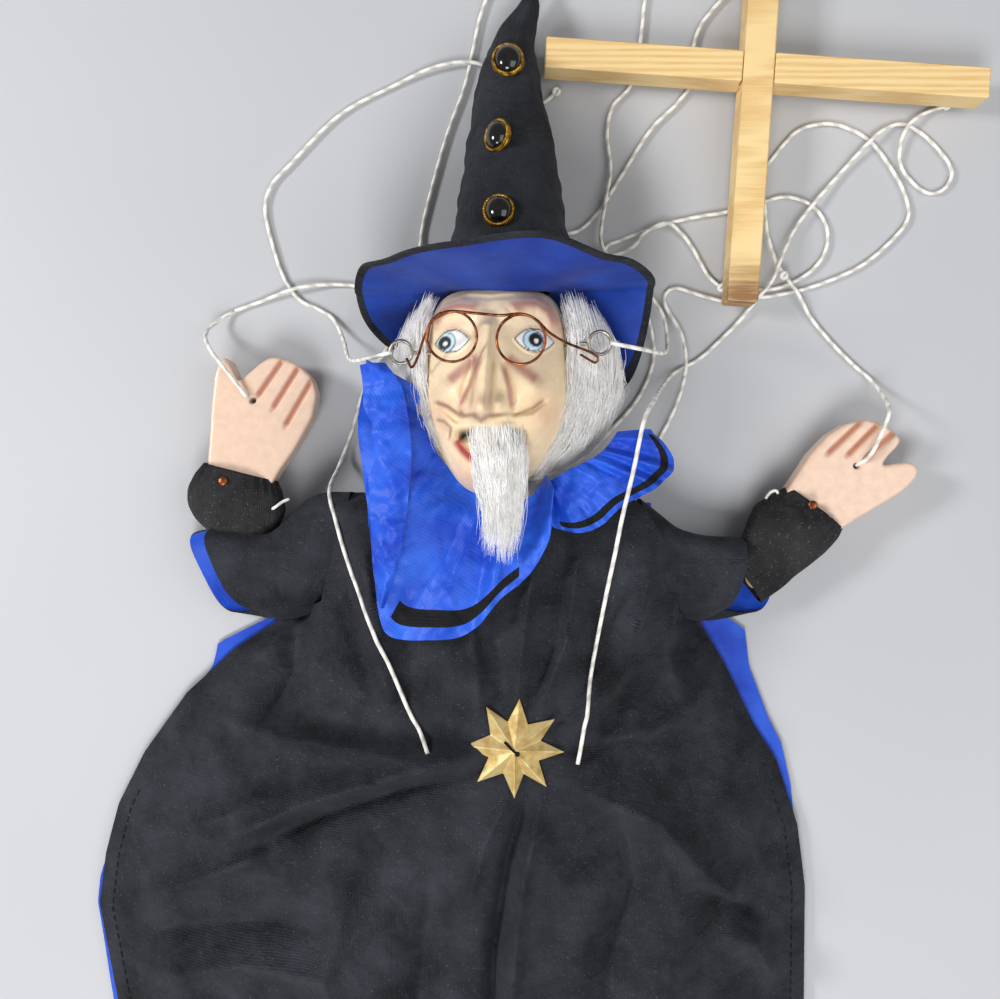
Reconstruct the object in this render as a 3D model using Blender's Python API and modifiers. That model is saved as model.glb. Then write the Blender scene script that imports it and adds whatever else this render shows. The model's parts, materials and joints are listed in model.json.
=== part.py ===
"""A string puppet: a bearded wizard lying on its back, with its crossed control bars beside the hat.

Metres, +Z up. The puppet lies face up on the plane z = 0, +Y runs to the tip of the hat and the origin
is on that plane under the waist.
"""
import math

import bmesh
import bpy
from mathutils import Matrix, Vector

# Driving dimensions
GAP = 0.0004            # clearance between pieces that touch
CLOTH = 0.0014          # robe cloth with its lining
RING_SIDES = 16         # sides of a lofted piece

HEAD_CENTRE = Vector((-0.008, 0.163, 0.039))
HEAD_RADII = Vector((0.030, 0.044, 0.0385))
HEAD_TURN = math.radians(12)
NOSE_RISE = 0.017
BROW_RISE = 0.003
CHIN_RISE = 0.006
HEAD_SIDES = 28
HEAD_RINGS = 20

BRIM_PLANE = 0.2066
BRIM_CENTRE_X = -0.005
BRIM_CENTRE_Z = 0.044
BRIM_INNER = 0.020
BRIM_OUTER = 0.064
BRIM_DROOP = 0.036
BRIM_BACK_TUCK = 0.010
BRIM_LOWEST = 0.003
BRIM_THICKNESS = 0.0016
BRIM_STEPS = 40

CONE_TOP_Y = 0.357
CONE_BEND_X = 0.005
CONE_TIP_Z = 0.010
CONE_BASE_RADIUS = 0.0265
CONE_BASE_X = -0.003
CONE_BASE_Z = 0.042
CONE_SECTIONS = 9

BUTTON_WIDTH = 0.014
BUTTON_HEIGHT = 0.017
BEZEL_THICKNESS = 0.0022
DOME_RISE = 0.0038
BUTTON_PLACES = (0.236, 0.2705, 0.308)

TORSO_LEFT = -0.046
TORSO_RIGHT = 0.030
TORSO_BOTTOM = 0.008
TORSO_TOP = 0.104
TORSO_DEPTH = 0.038
TORSO_ROUND = 0.006

BODY_AXIS_X = -0.008
WAIST_Y = -0.002
SHOULDER_Y = 0.114
HEM_Y = -0.215
CROWN_AT_WAIST = 0.0455
CROWN_AT_HEM = 0.031
PANEL_EDGE_Z = 0.0032
FRONT_OPENING = 0.0016
PANEL_COLUMNS = 10
PANEL_ROWS = 10

STAR_TIP_RADIUS = 0.0215
STAR_NOTCH_RADIUS = 0.0118
STAR_POINTS = 8
STAR_EDGE = 0.0012
STAR_RISE = 0.0042
STAR_CENTRE = (-0.001, 0.0115)

WIRE_RADIUS = 0.0006
EYE_LOOP = 0.0035
NECK_LINK = Vector((-0.009, 0.1128, 0.030))
LINK_HALF = EYE_LOOP - WIRE_RADIUS - GAP / 2
TEMPLE_LOOP = 0.0044
LENS_RADIUS = 0.0097
LENS_LEFT = Vector((-0.0258, 0.1809, 0.0858))
LENS_RIGHT = Vector((0.0010, 0.1795, 0.0878))
TEMPLE_LEFT = Vector((-0.0480, 0.1785, 0.060))
TEMPLE_RIGHT = Vector((0.0340, 0.1820, 0.062))

ARM_RADIUS = 0.0055
JOINT_BALL = 0.006
SHOULDER_LEFT = Vector((-0.080, 0.095, 0.015))
SHOULDER_RIGHT = Vector((0.066, 0.098, 0.015))
ELBOW_LEFT = Vector((-0.134, 0.092, 0.012))
ELBOW_RIGHT = Vector((0.112, 0.082, 0.012))
WRIST_LEFT = Vector((-0.126, 0.133, 0.0135))
WRIST_RIGHT = Vector((0.138, 0.114, 0.0135))
WRIST_SEAT_LEFT = 0.0035
WRIST_SEAT_RIGHT = 0.0022
HAND_TURN_RIGHT = math.radians(-64)
HAND_THICKNESS = 0.012
HAND_ROUND = 0.0032
HAND_HOLE_RADIUS = 0.0017
HAND_HOLE = (0.0045, 0.0305)
CUFF_WALL = 0.001
CUFF_HALF_WIDTH = 0.0228
CUFF_HALF_DEPTH = 0.0115
CUFF_ABOVE_WRIST = 0.003
CUFF_BELOW_WRIST = 0.026
TACK_RADIUS = 0.0019
TACK_THICKNESS = 0.0009
SLEEVE_HALF_WIDTH = 0.021
SLEEVE_HALF_DEPTH = 0.0155
SLEEVE_MOUTH_HALF = 0.031
SLEEVE_START = 0.0032
MOUTH_LEFT = Vector((-0.125, 0.095, 0.0))
MOUTH_WAY_LEFT = Vector((0.745, 0.667, 0.0))
MOUTH_RIGHT = Vector((0.110, 0.087, 0.0))
MOUTH_WAY_RIGHT = Vector((0.52, -0.86, 0.0))

HIP_SPREAD = 0.024
HIP_Y = -0.0025
LEG_Z = 0.0135
THIGH_RADIUS = 0.010
SHIN_RADIUS = 0.009
KNEE_Y = -0.0996
ANKLE_Y = -0.2056
BOOT_SOLE_Y = -0.265
BOOT_TOE_Z = 0.058
BOOT_RADIUS = 0.0113

BAR_SIDE = 0.014
BAR_LENGTH = 0.203
BAR_LIFT = 0.005
BAR_ROUND = 0.0006
BAR_TURN = math.radians(-4.0)
CROSSING = Vector((0.1109, 0.3146, 0.0))
MAIN_BAR_BELOW = 0.107
CROSS_BAR_LEFT = 0.0975
BRAD_INSET = 0.008
BRAD_SHANK = 0.0008
BRAD_HEAD = 0.0018
BRAD_HEAD_THICKNESS = 0.0008

STRING_RADIUS = 0.0009
STRING_POINTS = 36
ON_ROBE_LIFT = 0.0012     # a string on the robe lies this far above its cloth

# Outline of the robe, top to bottom: (y, x) of its left and right edges
ROBE_LEFT = ((0.116, -0.078), (0.070, -0.082), (0.058, -0.106), (0.027, -0.156), (-0.001, -0.175),
             (-0.025, -0.187), (-0.048, -0.193), (-0.072, -0.196), (-0.119, -0.187), (HEM_Y, -0.166))
ROBE_RIGHT = ((0.116, 0.062), (0.062, 0.070), (0.054, 0.088), (-0.006, 0.121), (-0.017, 0.129),
              (-0.048, 0.135), (-0.119, 0.136), (HEM_Y, 0.124))

# One hand seen from the back, wrist at the origin, thumb on the left
HAND_OUTLINE = ((-0.016, 0.002), (-0.015, 0.017), (-0.014, 0.035), (-0.011, 0.046), (-0.008, 0.050),
                (-0.004, 0.048), (0.000, 0.041), (0.004, 0.046), (0.009, 0.050), (0.013, 0.051),
                (0.019, 0.049), (0.026, 0.046), (0.033, 0.040), (0.035, 0.031), (0.027, 0.017),
                (0.019, 0.006), (0.016, -0.002))

# Hand-chosen routes of the strings, puppet end first. ON_ROBE stands for the height of the robe there
ON_ROBE = None
STRING_ROUTES = {
    "string_hand_left": (
        (-0.1215, 0.1635, 0.0208), (-0.1235, 0.1665, 0.0226), (-0.1300, 0.1750, 0.0234),
        (-0.1385, 0.1865, 0.0230), (-0.1430, 0.1960, 0.0090), (-0.1350, 0.2050, 0.0018), (-0.120, 0.211, 0.0013),
        (-0.102, 0.217, 0.0036), (-0.082, 0.219, 0.0014), (-0.060, 0.2165, 0.0013),
        (-0.035, 0.219, 0.0013), (-0.004, 0.226, 0.0013), (0.026, 0.229, 0.0013),
        (0.044, 0.232, 0.0013), (0.055, 0.236, 0.0036), (0.061, 0.243, 0.0036),
        (0.071, 0.2475, 0.0036), (0.078, 0.2435, 0.0020), (0.084, 0.236, 0.0013),
        (0.091, 0.2235, 0.0013), (0.0975, 0.2175, 0.0013)),
    "string_hand_right": (
        (0.1635, 0.1314, 0.0208), (0.1645, 0.1345, 0.0226), (0.1685, 0.1440, 0.0234),
        (0.1745, 0.1560, 0.0240), (0.1770, 0.1650, 0.0120), (0.1710, 0.1730, 0.0020), (0.160, 0.181, 0.0013),
        (0.150, 0.191, 0.0013), (0.140, 0.203, 0.0013), (0.1335, 0.214, 0.0030),
        (0.1285, 0.2205, 0.0036), (0.123, 0.229, 0.0032), (0.119, 0.243, 0.0020),
        (0.1175, 0.254, 0.0036), (0.116, 0.259, 0.0036), (0.1105, 0.263, 0.0020),
        (0.1085, 0.2665, 0.0018)),
    "string_head_left": (
        (-0.0545, 0.1785, 0.0600), (-0.0640, 0.1760, 0.0560), (-0.0740, 0.1800, 0.0300),
        (-0.0800, 0.1920, 0.0080), (-0.0860, 0.2030, 0.0016), (-0.094, 0.208, 0.0013),
        (-0.102, 0.212, 0.0013), (-0.109, 0.222, 0.0013), (-0.114, 0.236, 0.0013),
        (-0.118, 0.254, 0.0013), (-0.115, 0.266, 0.0013), (-0.106, 0.276, 0.0013),
        (-0.083, 0.299, 0.0013), (-0.057, 0.313, 0.0013), (-0.038, 0.321, 0.0030),
        (-0.020, 0.323, 0.0036), (-0.006, 0.318, 0.0013), (0.004, 0.309, 0.0013),
        (0.012, 0.3045, 0.0013), (0.0195, 0.3095, 0.0022)),
    "string_head_right": (
        (0.0405, 0.1820, 0.0620), (0.0520, 0.1800, 0.0580), (0.0650, 0.1820, 0.0340),
        (0.0705, 0.1910, 0.0090), (0.0690, 0.2050, 0.0036), (0.0590, 0.2180, 0.0036),
        (0.0460, 0.2270, 0.0042), (0.0420, 0.2350, 0.0042), (0.050, 0.240, 0.0013),
        (0.071, 0.2475, 0.0013), (0.086, 0.2510, 0.0013), (0.101, 0.2535, 0.0013),
        (0.117, 0.258, 0.0013), (0.128, 0.2605, 0.0013), (0.140, 0.2565, 0.0013),
        (0.147, 0.247, 0.0013), (0.147, 0.236, 0.0013), (0.141, 0.2265, 0.0013),
        (0.130, 0.2195, 0.0013), (0.119, 0.2165, 0.0013), (0.1065, 0.2170, 0.0018)),
    "string_knee_left": (
        (-0.042, -0.0070, ON_ROBE), (-0.0445, 0.010, ON_ROBE), (-0.0475, 0.026, ON_ROBE),
        (-0.054, 0.046, ON_ROBE), (-0.0610, 0.062, ON_ROBE), (-0.0685, 0.079, ON_ROBE),
        (-0.0745, 0.0950, ON_ROBE), (-0.0790, 0.1090, ON_ROBE), (-0.0835, 0.1215, 0.0260), (-0.082, 0.134, 0.006), (-0.077, 0.150, 0.0014),
        (-0.071, 0.170, 0.0013), (-0.060, 0.190, 0.0013), (-0.049, 0.208, 0.0040),
        (-0.046, 0.2165, 0.0044), (-0.045, 0.228, 0.0040), (-0.0445, 0.240, 0.0013),
        (-0.042, 0.254, 0.0013), (-0.033, 0.287, 0.0013), (-0.024, 0.312, 0.0013),
        (-0.020, 0.329, 0.0013), (-0.015, 0.350, 0.0013), (-0.004, 0.372, 0.0013),
        (0.018, 0.390, 0.0013), (0.048, 0.402, 0.0013), (0.078, 0.4085, 0.0013),
        (0.1130, 0.4035, 0.0018)),
    "string_knee_right": (
        (0.029, -0.0080, ON_ROBE), (0.031, 0.010, ON_ROBE), (0.034, 0.040, ON_ROBE),
        (0.0375, 0.075, 0.0500), (0.0405, 0.095, 0.0600), (0.043, 0.110, 0.0640),
        (0.048, 0.130, 0.0620), (0.0525, 0.150, 0.0600), (0.059, 0.160, 0.0450), (0.067, 0.169, 0.0160),
        (0.0755, 0.1775, 0.0016),
        (0.087, 0.184, 0.0013), (0.097, 0.193, 0.0013), (0.106, 0.202, 0.0020),
        (0.1135, 0.2115, 0.0036), (0.120, 0.2195, 0.0058), (0.1245, 0.2305, 0.0058),
        (0.131, 0.244, 0.0040), (0.140, 0.256, 0.0036), (0.154, 0.272, 0.0020),
        (0.168, 0.287, 0.0036), (0.176, 0.293, 0.0020), (0.1845, 0.2945, 0.0013),
        (0.196, 0.287, 0.0013), (0.206, 0.274, 0.0013), (0.2035, 0.265, 0.0013),
        (0.196, 0.262, 0.0013), (0.188, 0.267, 0.0013), (0.182, 0.276, 0.0013),
        (0.182, 0.287, 0.0030), (0.186, 0.2945, 0.0036), (0.194, 0.300, 0.0020),
        (0.2035, 0.3032, 0.0018)),
    "string_shoulder": (
        (0.0475, 0.1200, 0.012), (0.055, 0.128, 0.0022), (0.0675, 0.145, 0.0013),
        (0.076, 0.163, 0.0042), (0.0800, 0.1795, 0.0052), (0.0775, 0.198, 0.0036), (0.070, 0.2135, 0.0013),
        (0.076, 0.2135, 0.0013), (0.088, 0.2125, 0.0013), (0.101, 0.2110, 0.0013),
        (0.113, 0.2125, 0.0013), (0.126, 0.2145, 0.0013), (0.142, 0.2185, 0.0013),
        (0.162, 0.227, 0.0013), (0.176, 0.238, 0.0013), (0.1855, 0.250, 0.0013),
        (0.184, 0.262, 0.0013), (0.177, 0.275, 0.0013), (0.168, 0.2865, 0.0013),
        (0.158, 0.2925, 0.0013), (0.147, 0.295, 0.0013), (0.134, 0.292, 0.0013),
        (0.125, 0.283, 0.0013), (0.1195, 0.276, 0.0013), (0.1125, 0.2705, 0.0018)),
    "string_back": (
        (-0.010, 0.1250, 0.0015), (0.010, 0.1275, 0.0013), (0.030, 0.136, 0.0013),
        (0.045, 0.150, 0.0013), (0.0585, 0.166, 0.0013), (0.0655, 0.185, 0.0013), (0.0620, 0.205, 0.0030),
        (0.054, 0.220, 0.0068), (0.0450, 0.229, 0.0070), (0.0400, 0.2390, 0.0064),
        (0.0425, 0.2580, 0.0036), (0.045, 0.273, 0.0020),
        (0.0435, 0.290, 0.0013), (0.046, 0.303, 0.0013), (0.054, 0.312, 0.0013),
        (0.058, 0.325, 0.0013), (0.060, 0.340, 0.0013), (0.0625, 0.358, 0.0013),
        (0.072, 0.375, 0.0013), (0.089, 0.391, 0.0013), (0.1135, 0.3990, 0.0018)),
    "string_hat": (
        (0.014, 0.2395, 0.018), (0.022, 0.2405, 0.010), (0.030, 0.2440, 0.0030),
        (0.0365, 0.2500, 0.0013), (0.0420, 0.2570, 0.0013), (0.050, 0.270, 0.0013),
        (0.0640, 0.292, 0.0013), (0.076, 0.304, 0.0013), (0.0830, 0.314, 0.0013),
        (0.0835, 0.326, 0.0013), (0.087, 0.340, 0.0013), (0.096, 0.352, 0.0013),
        (0.107, 0.363, 0.0013), (0.1140, 0.378, 0.0013), (0.1150, 0.3955, 0.0018)),
}

# Control points of the collar, left end first: inner edge and outer edge
COLLAR_PAIRS = (
    ((-0.0475, 0.163, 0.055), (-0.0610, 0.174, 0.066)),
    ((-0.0400, 0.133, 0.053), (-0.0640, 0.140, 0.064)),
    ((-0.0370, 0.121, 0.053), (-0.0650, 0.105, 0.060)),
    ((-0.0280, 0.113, 0.0484), (-0.0540, 0.062, 0.056)),
    ((-0.0150, 0.1095, 0.0484), (-0.0220, 0.0610, 0.0565)),
    ((-0.0030, 0.1095, 0.0484), (0.0060, 0.0840, 0.0585)),
    ((0.0080, 0.1110, 0.0486), (0.0170, 0.1010, 0.0600)),
    ((0.0180, 0.1210, 0.051), (0.0370, 0.1060, 0.0570)),
    ((0.0270, 0.1235, 0.0515), (0.0640, 0.1240, 0.0560)),
    ((0.0400, 0.1310, 0.0545), (0.0630, 0.1470, 0.0545)),
)


def clear_scene():
    """Take out whatever the file opened with."""
    for thing in list(bpy.data.objects):
        bpy.data.objects.remove(thing, do_unlink=True)


clear_scene()
puppet = bpy.data.collections.new("marionette")
cutters = bpy.data.collections.new("cutters")
bpy.context.scene.collection.children.link(puppet)
bpy.context.scene.collection.children.link(cutters)


def paint(thing, colour, roughness, metallic=0.0):
    """Give an object a material of its own."""
    material = bpy.data.materials.new(thing.name + "_finish")
    material.use_nodes = True
    shader = material.node_tree.nodes["Principled BSDF"]
    shader.inputs["Base Color"].default_value = (*colour, 1.0)
    shader.inputs["Roughness"].default_value = roughness
    shader.inputs["Metallic"].default_value = metallic
    thing.data.materials.append(material)
    return thing


def add_mesh(name, shape, collection=puppet, smooth=True):
    """Make an object of a bmesh."""
    mesh = bpy.data.meshes.new(name)
    shape.to_mesh(mesh)
    shape.free()
    if smooth:
        mesh.shade_smooth()
        mesh.set_sharp_from_angle(angle=math.radians(45))
    thing = bpy.data.objects.new(name, mesh)
    collection.objects.link(thing)
    return thing


def add_solidify(thing, thickness, offset=0.0):
    """Thicken an open surface into a shell."""
    shell = thing.modifiers.new("wall", "SOLIDIFY")
    shell.thickness = thickness
    shell.offset = offset
    shell.use_even_offset = False
    return thing


def add_bevel(thing, width, segments=2):
    """Round the edges of a piece."""
    rounding = thing.modifiers.new("rounding", "BEVEL")
    rounding.width = width
    rounding.segments = segments
    rounding.limit_method = "ANGLE"
    return thing


def cut(thing, cutter):
    """Take the cutter away from a piece."""
    cutter.hide_render = True
    cutter.display_type = "WIRE"
    boolean = thing.modifiers.new("cut_" + cutter.name, "BOOLEAN")
    boolean.operation = "DIFFERENCE"
    boolean.solver = "EXACT"
    boolean.object = cutter
    return thing


def ring(centre, across, up, half_width, half_depth, sides=RING_SIDES):
    """Points of an ellipse about a centre, in the plane of two directions."""
    turn = [2 * math.pi * step / sides for step in range(sides)]
    return [Vector(centre) + Vector(across) * half_width * math.cos(a) + Vector(up) * half_depth * math.sin(a)
            for a in turn]


def loft(name, rings, capped=True, collection=puppet):
    """Join rings of points into a tube, closed at its ends when capped."""
    shape = bmesh.new()
    loops = [[shape.verts.new(point) for point in points] for points in rings]
    sides = len(loops[0])
    for low, high in zip(loops, loops[1:]):
        for k in range(sides):
            shape.faces.new((low[k], low[(k + 1) % sides], high[(k + 1) % sides], high[k]))
    if capped:
        shape.faces.new(loops[0])
        shape.faces.new(loops[-1])
    bmesh.ops.recalc_face_normals(shape, faces=shape.faces[:])
    return add_mesh(name, shape, collection)


def limb(name, stations, collection=puppet):
    """A round limb through (centre, radius) stations along one straight line."""
    along = (stations[-1][0] - stations[0][0]).normalized()
    side = along.cross(Vector((0, 0, 1))).normalized()
    up = side.cross(along)
    return loft(name, [ring(centre, side, up, radius, radius) for centre, radius in stations], True, collection)


def ball_end(pivot, along, radius, steps=4):
    """Stations of a half ball about a pivot, from its pole to its waist."""
    angles = [math.pi / 2 * (step + 0.35) / (steps + 0.35) for step in range(steps + 1)]
    return [(pivot - along * radius * math.cos(a), radius * math.sin(a)) for a in angles]


def ellipsoid(name, centre, radii, sides=24, rings=16, collection=puppet):
    """A ball stretched to three radii."""
    shape = bmesh.new()
    bmesh.ops.create_uvsphere(shape, u_segments=sides, v_segments=rings, radius=1.0)
    bmesh.ops.scale(shape, vec=radii, verts=shape.verts)
    bmesh.ops.translate(shape, vec=centre, verts=shape.verts)
    return add_mesh(name, shape, collection)


def wire(name, points, radius, resolution=2):
    """A round wire or cord along points."""
    curve = bpy.data.curves.new(name, "CURVE")
    curve.dimensions = "3D"
    curve.bevel_depth = radius
    curve.bevel_resolution = resolution
    curve.use_fill_caps = True
    spline = curve.splines.new("POLY")
    spline.points.add(len(points) - 1)
    for knot, point in zip(spline.points, points):
        knot.co = (*point, 1.0)
    thing = bpy.data.objects.new(name, curve)
    puppet.objects.link(thing)
    return thing


def smooth_route(knots, count):
    """Points at even steps along a smooth curve through the knots."""
    knots = [Vector(knot) for knot in knots]
    ends = [2 * knots[0] - knots[1]] + knots + [2 * knots[-1] - knots[-2]]
    fine = []
    steps = 12
    for before, start, end, after in zip(ends, ends[1:], ends[2:], ends[3:]):
        for step in range(steps):
            t = step / steps
            fine.append(0.5 * (2 * start + (end - before) * t
                               + (2 * before - 5 * start + 4 * end - after) * t * t
                               + (3 * start - before - 3 * end + after) * t ** 3))
    fine.append(knots[-1])
    reach = [0.0]
    for a, b in zip(fine, fine[1:]):
        reach.append(reach[-1] + (b - a).length)
    points = []
    place = 0
    for step in range(count):
        goal = reach[-1] * step / (count - 1)
        while place < len(fine) - 2 and reach[place + 1] < goal:
            place += 1
        share = (goal - reach[place]) / (reach[place + 1] - reach[place])
        points.append(fine[place].lerp(fine[place + 1], share))
    return points


def between(table, y):
    """Read x at a height y from a table of (y, x) that runs top to bottom."""
    for (high, x_high), (low, x_low) in zip(table, table[1:]):
        if y >= low:
            share = min(1.0, max(0.0, (high - y) / (high - low)))
            return x_high + (x_low - x_high) * share
    return table[-1][1]


def slab(name, outline, low, thickness, rounding):
    """A flat plate cut to an outline, lying at a height."""
    shape = bmesh.new()
    face = shape.faces.new([shape.verts.new((x, y, low)) for x, y in outline])
    raised = bmesh.ops.extrude_face_region(shape, geom=[face])["geom"]
    top = [item for item in raised if isinstance(item, bmesh.types.BMVert)]
    bmesh.ops.translate(shape, vec=(0, 0, thickness), verts=top)
    bmesh.ops.recalc_face_normals(shape, faces=shape.faces[:])
    thing = add_mesh(name, shape)
    if rounding:
        add_bevel(thing, rounding)
    return thing


# Robe
def robe_height(x, y):
    """Height of the front of the robe above the table."""
    left = between(ROBE_LEFT, y)
    right = between(ROBE_RIGHT, y)
    chest = min(1.0, max(0.0, (y - 0.050) / 0.016))
    to_edge = BODY_AXIS_X - left if x < BODY_AXIS_X else right - BODY_AXIS_X
    half = to_edge * (1 - chest) + 0.090 * chest
    power = 2.4 * (1 - chest) + 6.0 * chest
    down = min(1.0, max(0.0, (WAIST_Y - y) / (WAIST_Y - HEM_Y)))
    crown = CROWN_AT_WAIST + (CROWN_AT_HEM - CROWN_AT_WAIST) * down
    share = min(1.0, abs((x - BODY_AXIS_X) / half))
    return PANEL_EDGE_Z + (crown - PANEL_EDGE_Z) * (1 - share ** power)


def robe_front(name, top, bottom, left_edge, right_edge, columns):
    """A front panel of the robe between two heights and two edges."""
    shape = bmesh.new()
    bmesh.ops.create_grid(shape, x_segments=columns, y_segments=PANEL_ROWS, size=0.5)
    for vert in shape.verts:
        y = bottom + (top - bottom) * (vert.co.y + 0.5)
        left = left_edge(y)
        x = left + (right_edge(y) - left) * (vert.co.x + 0.5)
        vert.co = (x, y, robe_height(x, y) + CLOTH / 2)
    return paint(add_solidify(add_mesh(name, shape), CLOTH), (0.012, 0.012, 0.014), 0.9)


def left_edge(y):
    """Left edge of the robe."""
    return between(ROBE_LEFT, y)


def right_edge(y):
    """Right edge of the robe."""
    return between(ROBE_RIGHT, y)


back_outline = [(x, y) for y, x in ROBE_LEFT] + [(x, y) for y, x in reversed(ROBE_RIGHT)]
paint(slab("robe_back", back_outline, 0.0, CLOTH, 0), (0.008, 0.04, 0.55), 0.6)
robe_front("robe_bodice", SHOULDER_Y, WAIST_Y, left_edge, right_edge, 2 * PANEL_COLUMNS)
SKIRT_TOP = WAIST_Y - GAP
robe_front("skirt_front_left", SKIRT_TOP, HEM_Y, left_edge, lambda y: BODY_AXIS_X - FRONT_OPENING / 2, PANEL_COLUMNS)
robe_front("skirt_front_right", SKIRT_TOP, HEM_Y, lambda y: BODY_AXIS_X + FRONT_OPENING / 2, right_edge,
           PANEL_COLUMNS)

# Torso
TORSO_LOW = CLOTH + GAP
torso_outline = ((TORSO_LEFT, TORSO_BOTTOM), (TORSO_RIGHT, TORSO_BOTTOM), (TORSO_RIGHT, TORSO_TOP),
                 (TORSO_LEFT, TORSO_TOP))
paint(slab("torso_block", torso_outline, TORSO_LOW, TORSO_DEPTH, TORSO_ROUND), (0.55, 0.36, 0.18), 0.7)
for peg_name, shoulder, face_x, side in (("shoulder_peg_left", SHOULDER_LEFT, TORSO_LEFT, -1),
                                         ("shoulder_peg_right", SHOULDER_RIGHT, TORSO_RIGHT, 1)):
    inner = Vector((face_x + side * GAP, shoulder.y, shoulder.z))
    outer = Vector((shoulder.x - side * (JOINT_BALL + GAP), shoulder.y, shoulder.z))
    paint(limb(peg_name, [(inner, JOINT_BALL), (outer, JOINT_BALL)]), (0.55, 0.36, 0.18), 0.7)


def screw_eye(name, foot, link, normal, radius):
    """A wire eye: a straight shank from its foot and an open loop about a centre."""
    foot = Vector(foot)
    out = (foot - link).normalized()
    across = Vector(normal).cross(out)
    start = link + out * radius
    turns = 14
    sweep = math.radians(318)
    loop = [link + (out * math.cos(sweep * k / turns) + across * math.sin(sweep * k / turns)) * radius
            for k in range(turns + 1)]
    return paint(wire(name, [foot, foot.lerp(start, 0.5)] + loop, WIRE_RADIUS, 1), (0.45, 0.40, 0.33), 0.35, 1.0)


screw_eye("neck_eye_lower", (NECK_LINK.x, TORSO_TOP + GAP, NECK_LINK.z), NECK_LINK - Vector((0, LINK_HALF, 0)),
          (1, 0, 0), EYE_LOOP)


# Head
def head_point(direction, grow=1.0):
    """A point of the head in a direction from its centre, with nose, brows and chin raised."""
    turned = Matrix.Rotation(HEAD_TURN, 3, "Y") @ direction
    bump = Vector((0, 0, 0))
    if turned.z > 0:
        nose = math.exp(-(turned.x / 0.16) ** 2) * math.exp(-((turned.y - 0.02) / 0.24) ** 2)
        brow = math.exp(-((turned.y - 0.42) / 0.10) ** 2)
        chin = math.exp(-(turned.x / 0.22) ** 2) * math.exp(-((turned.y + 0.85) / 0.16) ** 2)
        bump = turned * (NOSE_RISE * nose + BROW_RISE * brow + CHIN_RISE * chin) * turned.z
    bump = Matrix.Rotation(-HEAD_TURN, 3, "Y") @ bump
    sized = Vector((direction.x * HEAD_RADII.x, direction.y * HEAD_RADII.y, direction.z * HEAD_RADII.z))
    return HEAD_CENTRE + sized * grow + bump


def head_shape(name, grow, collection):
    """The head, or a slightly larger copy of it to cut hair with."""
    shape = bmesh.new()
    bmesh.ops.create_uvsphere(shape, u_segments=HEAD_SIDES, v_segments=HEAD_RINGS, radius=1.0)
    bmesh.ops.rotate(shape, cent=(0, 0, 0), matrix=Matrix.Rotation(math.radians(-90), 3, "X"), verts=shape.verts)
    for vert in shape.verts:
        vert.co = head_point(vert.co.normalized(), grow)
    return add_mesh(name, shape, collection)


paint(head_shape("head", 1.0, puppet), (0.80, 0.58, 0.42), 0.45)
hair_cutter = head_shape("hair_cutter", 1.02, cutters)
head_underside = HEAD_RADII.y * math.sqrt(1 - ((NECK_LINK.z - HEAD_CENTRE.z) / HEAD_RADII.z) ** 2)
screw_eye("neck_eye_upper", (NECK_LINK.x, HEAD_CENTRE.y - head_underside - GAP, NECK_LINK.z),
          NECK_LINK + Vector((0, LINK_HALF, 0)), (0, 0, 1), EYE_LOOP)

hair_colour = (0.62, 0.62, 0.60)
hair_left = ellipsoid("hair_left", (-0.0400, 0.1610, 0.0400), (0.0130, 0.0270, 0.0150), 18, 10)
hair_right = ellipsoid("hair_right", (0.0270, 0.1590, 0.0400), (0.0180, 0.0300, 0.0160), 18, 10)
for lock in (hair_left, hair_right):
    paint(cut(lock, hair_cutter), hair_colour, 0.8)

BEARD_STATIONS = (((-0.0125, 0.1400, 0.0750), 0.0105, 0.0040), ((-0.0110, 0.1320, 0.0730), 0.0115, 0.0055),
                  ((-0.0090, 0.1210, 0.0700), 0.0110, 0.0060), ((-0.0070, 0.1100, 0.0665), 0.0085, 0.0050),
                  ((-0.0050, 0.1000, 0.0655), 0.0050, 0.0035), ((-0.0040, 0.0920, 0.0640), 0.0015, 0.0015))
beard = loft("beard", [ring(c, (1, 0, 0), (0, 0.25, 0.97), w, d, 12) for c, w, d in BEARD_STATIONS])
paint(cut(beard, hair_cutter), hair_colour, 0.8)

screw_eye("temple_eye_left", (-0.0331, 0.1785, 0.0585), TEMPLE_LEFT, (0, 0, 1), TEMPLE_LOOP)
screw_eye("temple_eye_right", (0.0150, 0.1820, 0.0610), TEMPLE_RIGHT, (0, 0, 1), TEMPLE_LOOP)


def lens_ring(centre, start, sweep, rise):
    """One wire ring that climbs a little, so that its end passes over its start."""
    steps = 20
    return [centre + Vector((LENS_RADIUS * math.cos(start + sweep * k / steps),
                             LENS_RADIUS * math.sin(start + sweep * k / steps), rise * k / steps))
            for k in range(steps + 1)]


over = 0.0016
left_ring = lens_ring(LENS_LEFT, math.radians(115), math.radians(-375), over)
right_ring = lens_ring(LENS_RIGHT, math.radians(100), math.radians(-375), over)
left_hook = [TEMPLE_LEFT + Vector((0.0040, 0.0062, 0.0030)), LENS_LEFT + Vector((-0.012, 0.006, -0.010))]
right_hook = [LENS_RIGHT + Vector((0.012, 0.0090, 0.000)), TEMPLE_RIGHT + Vector((-0.0040, 0.0062, 0.0030))]
paint(wire("spectacles", left_hook + left_ring + right_ring + right_hook, WIRE_RADIUS, 1), (0.55, 0.27, 0.15), 0.3, 1.0)


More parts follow.
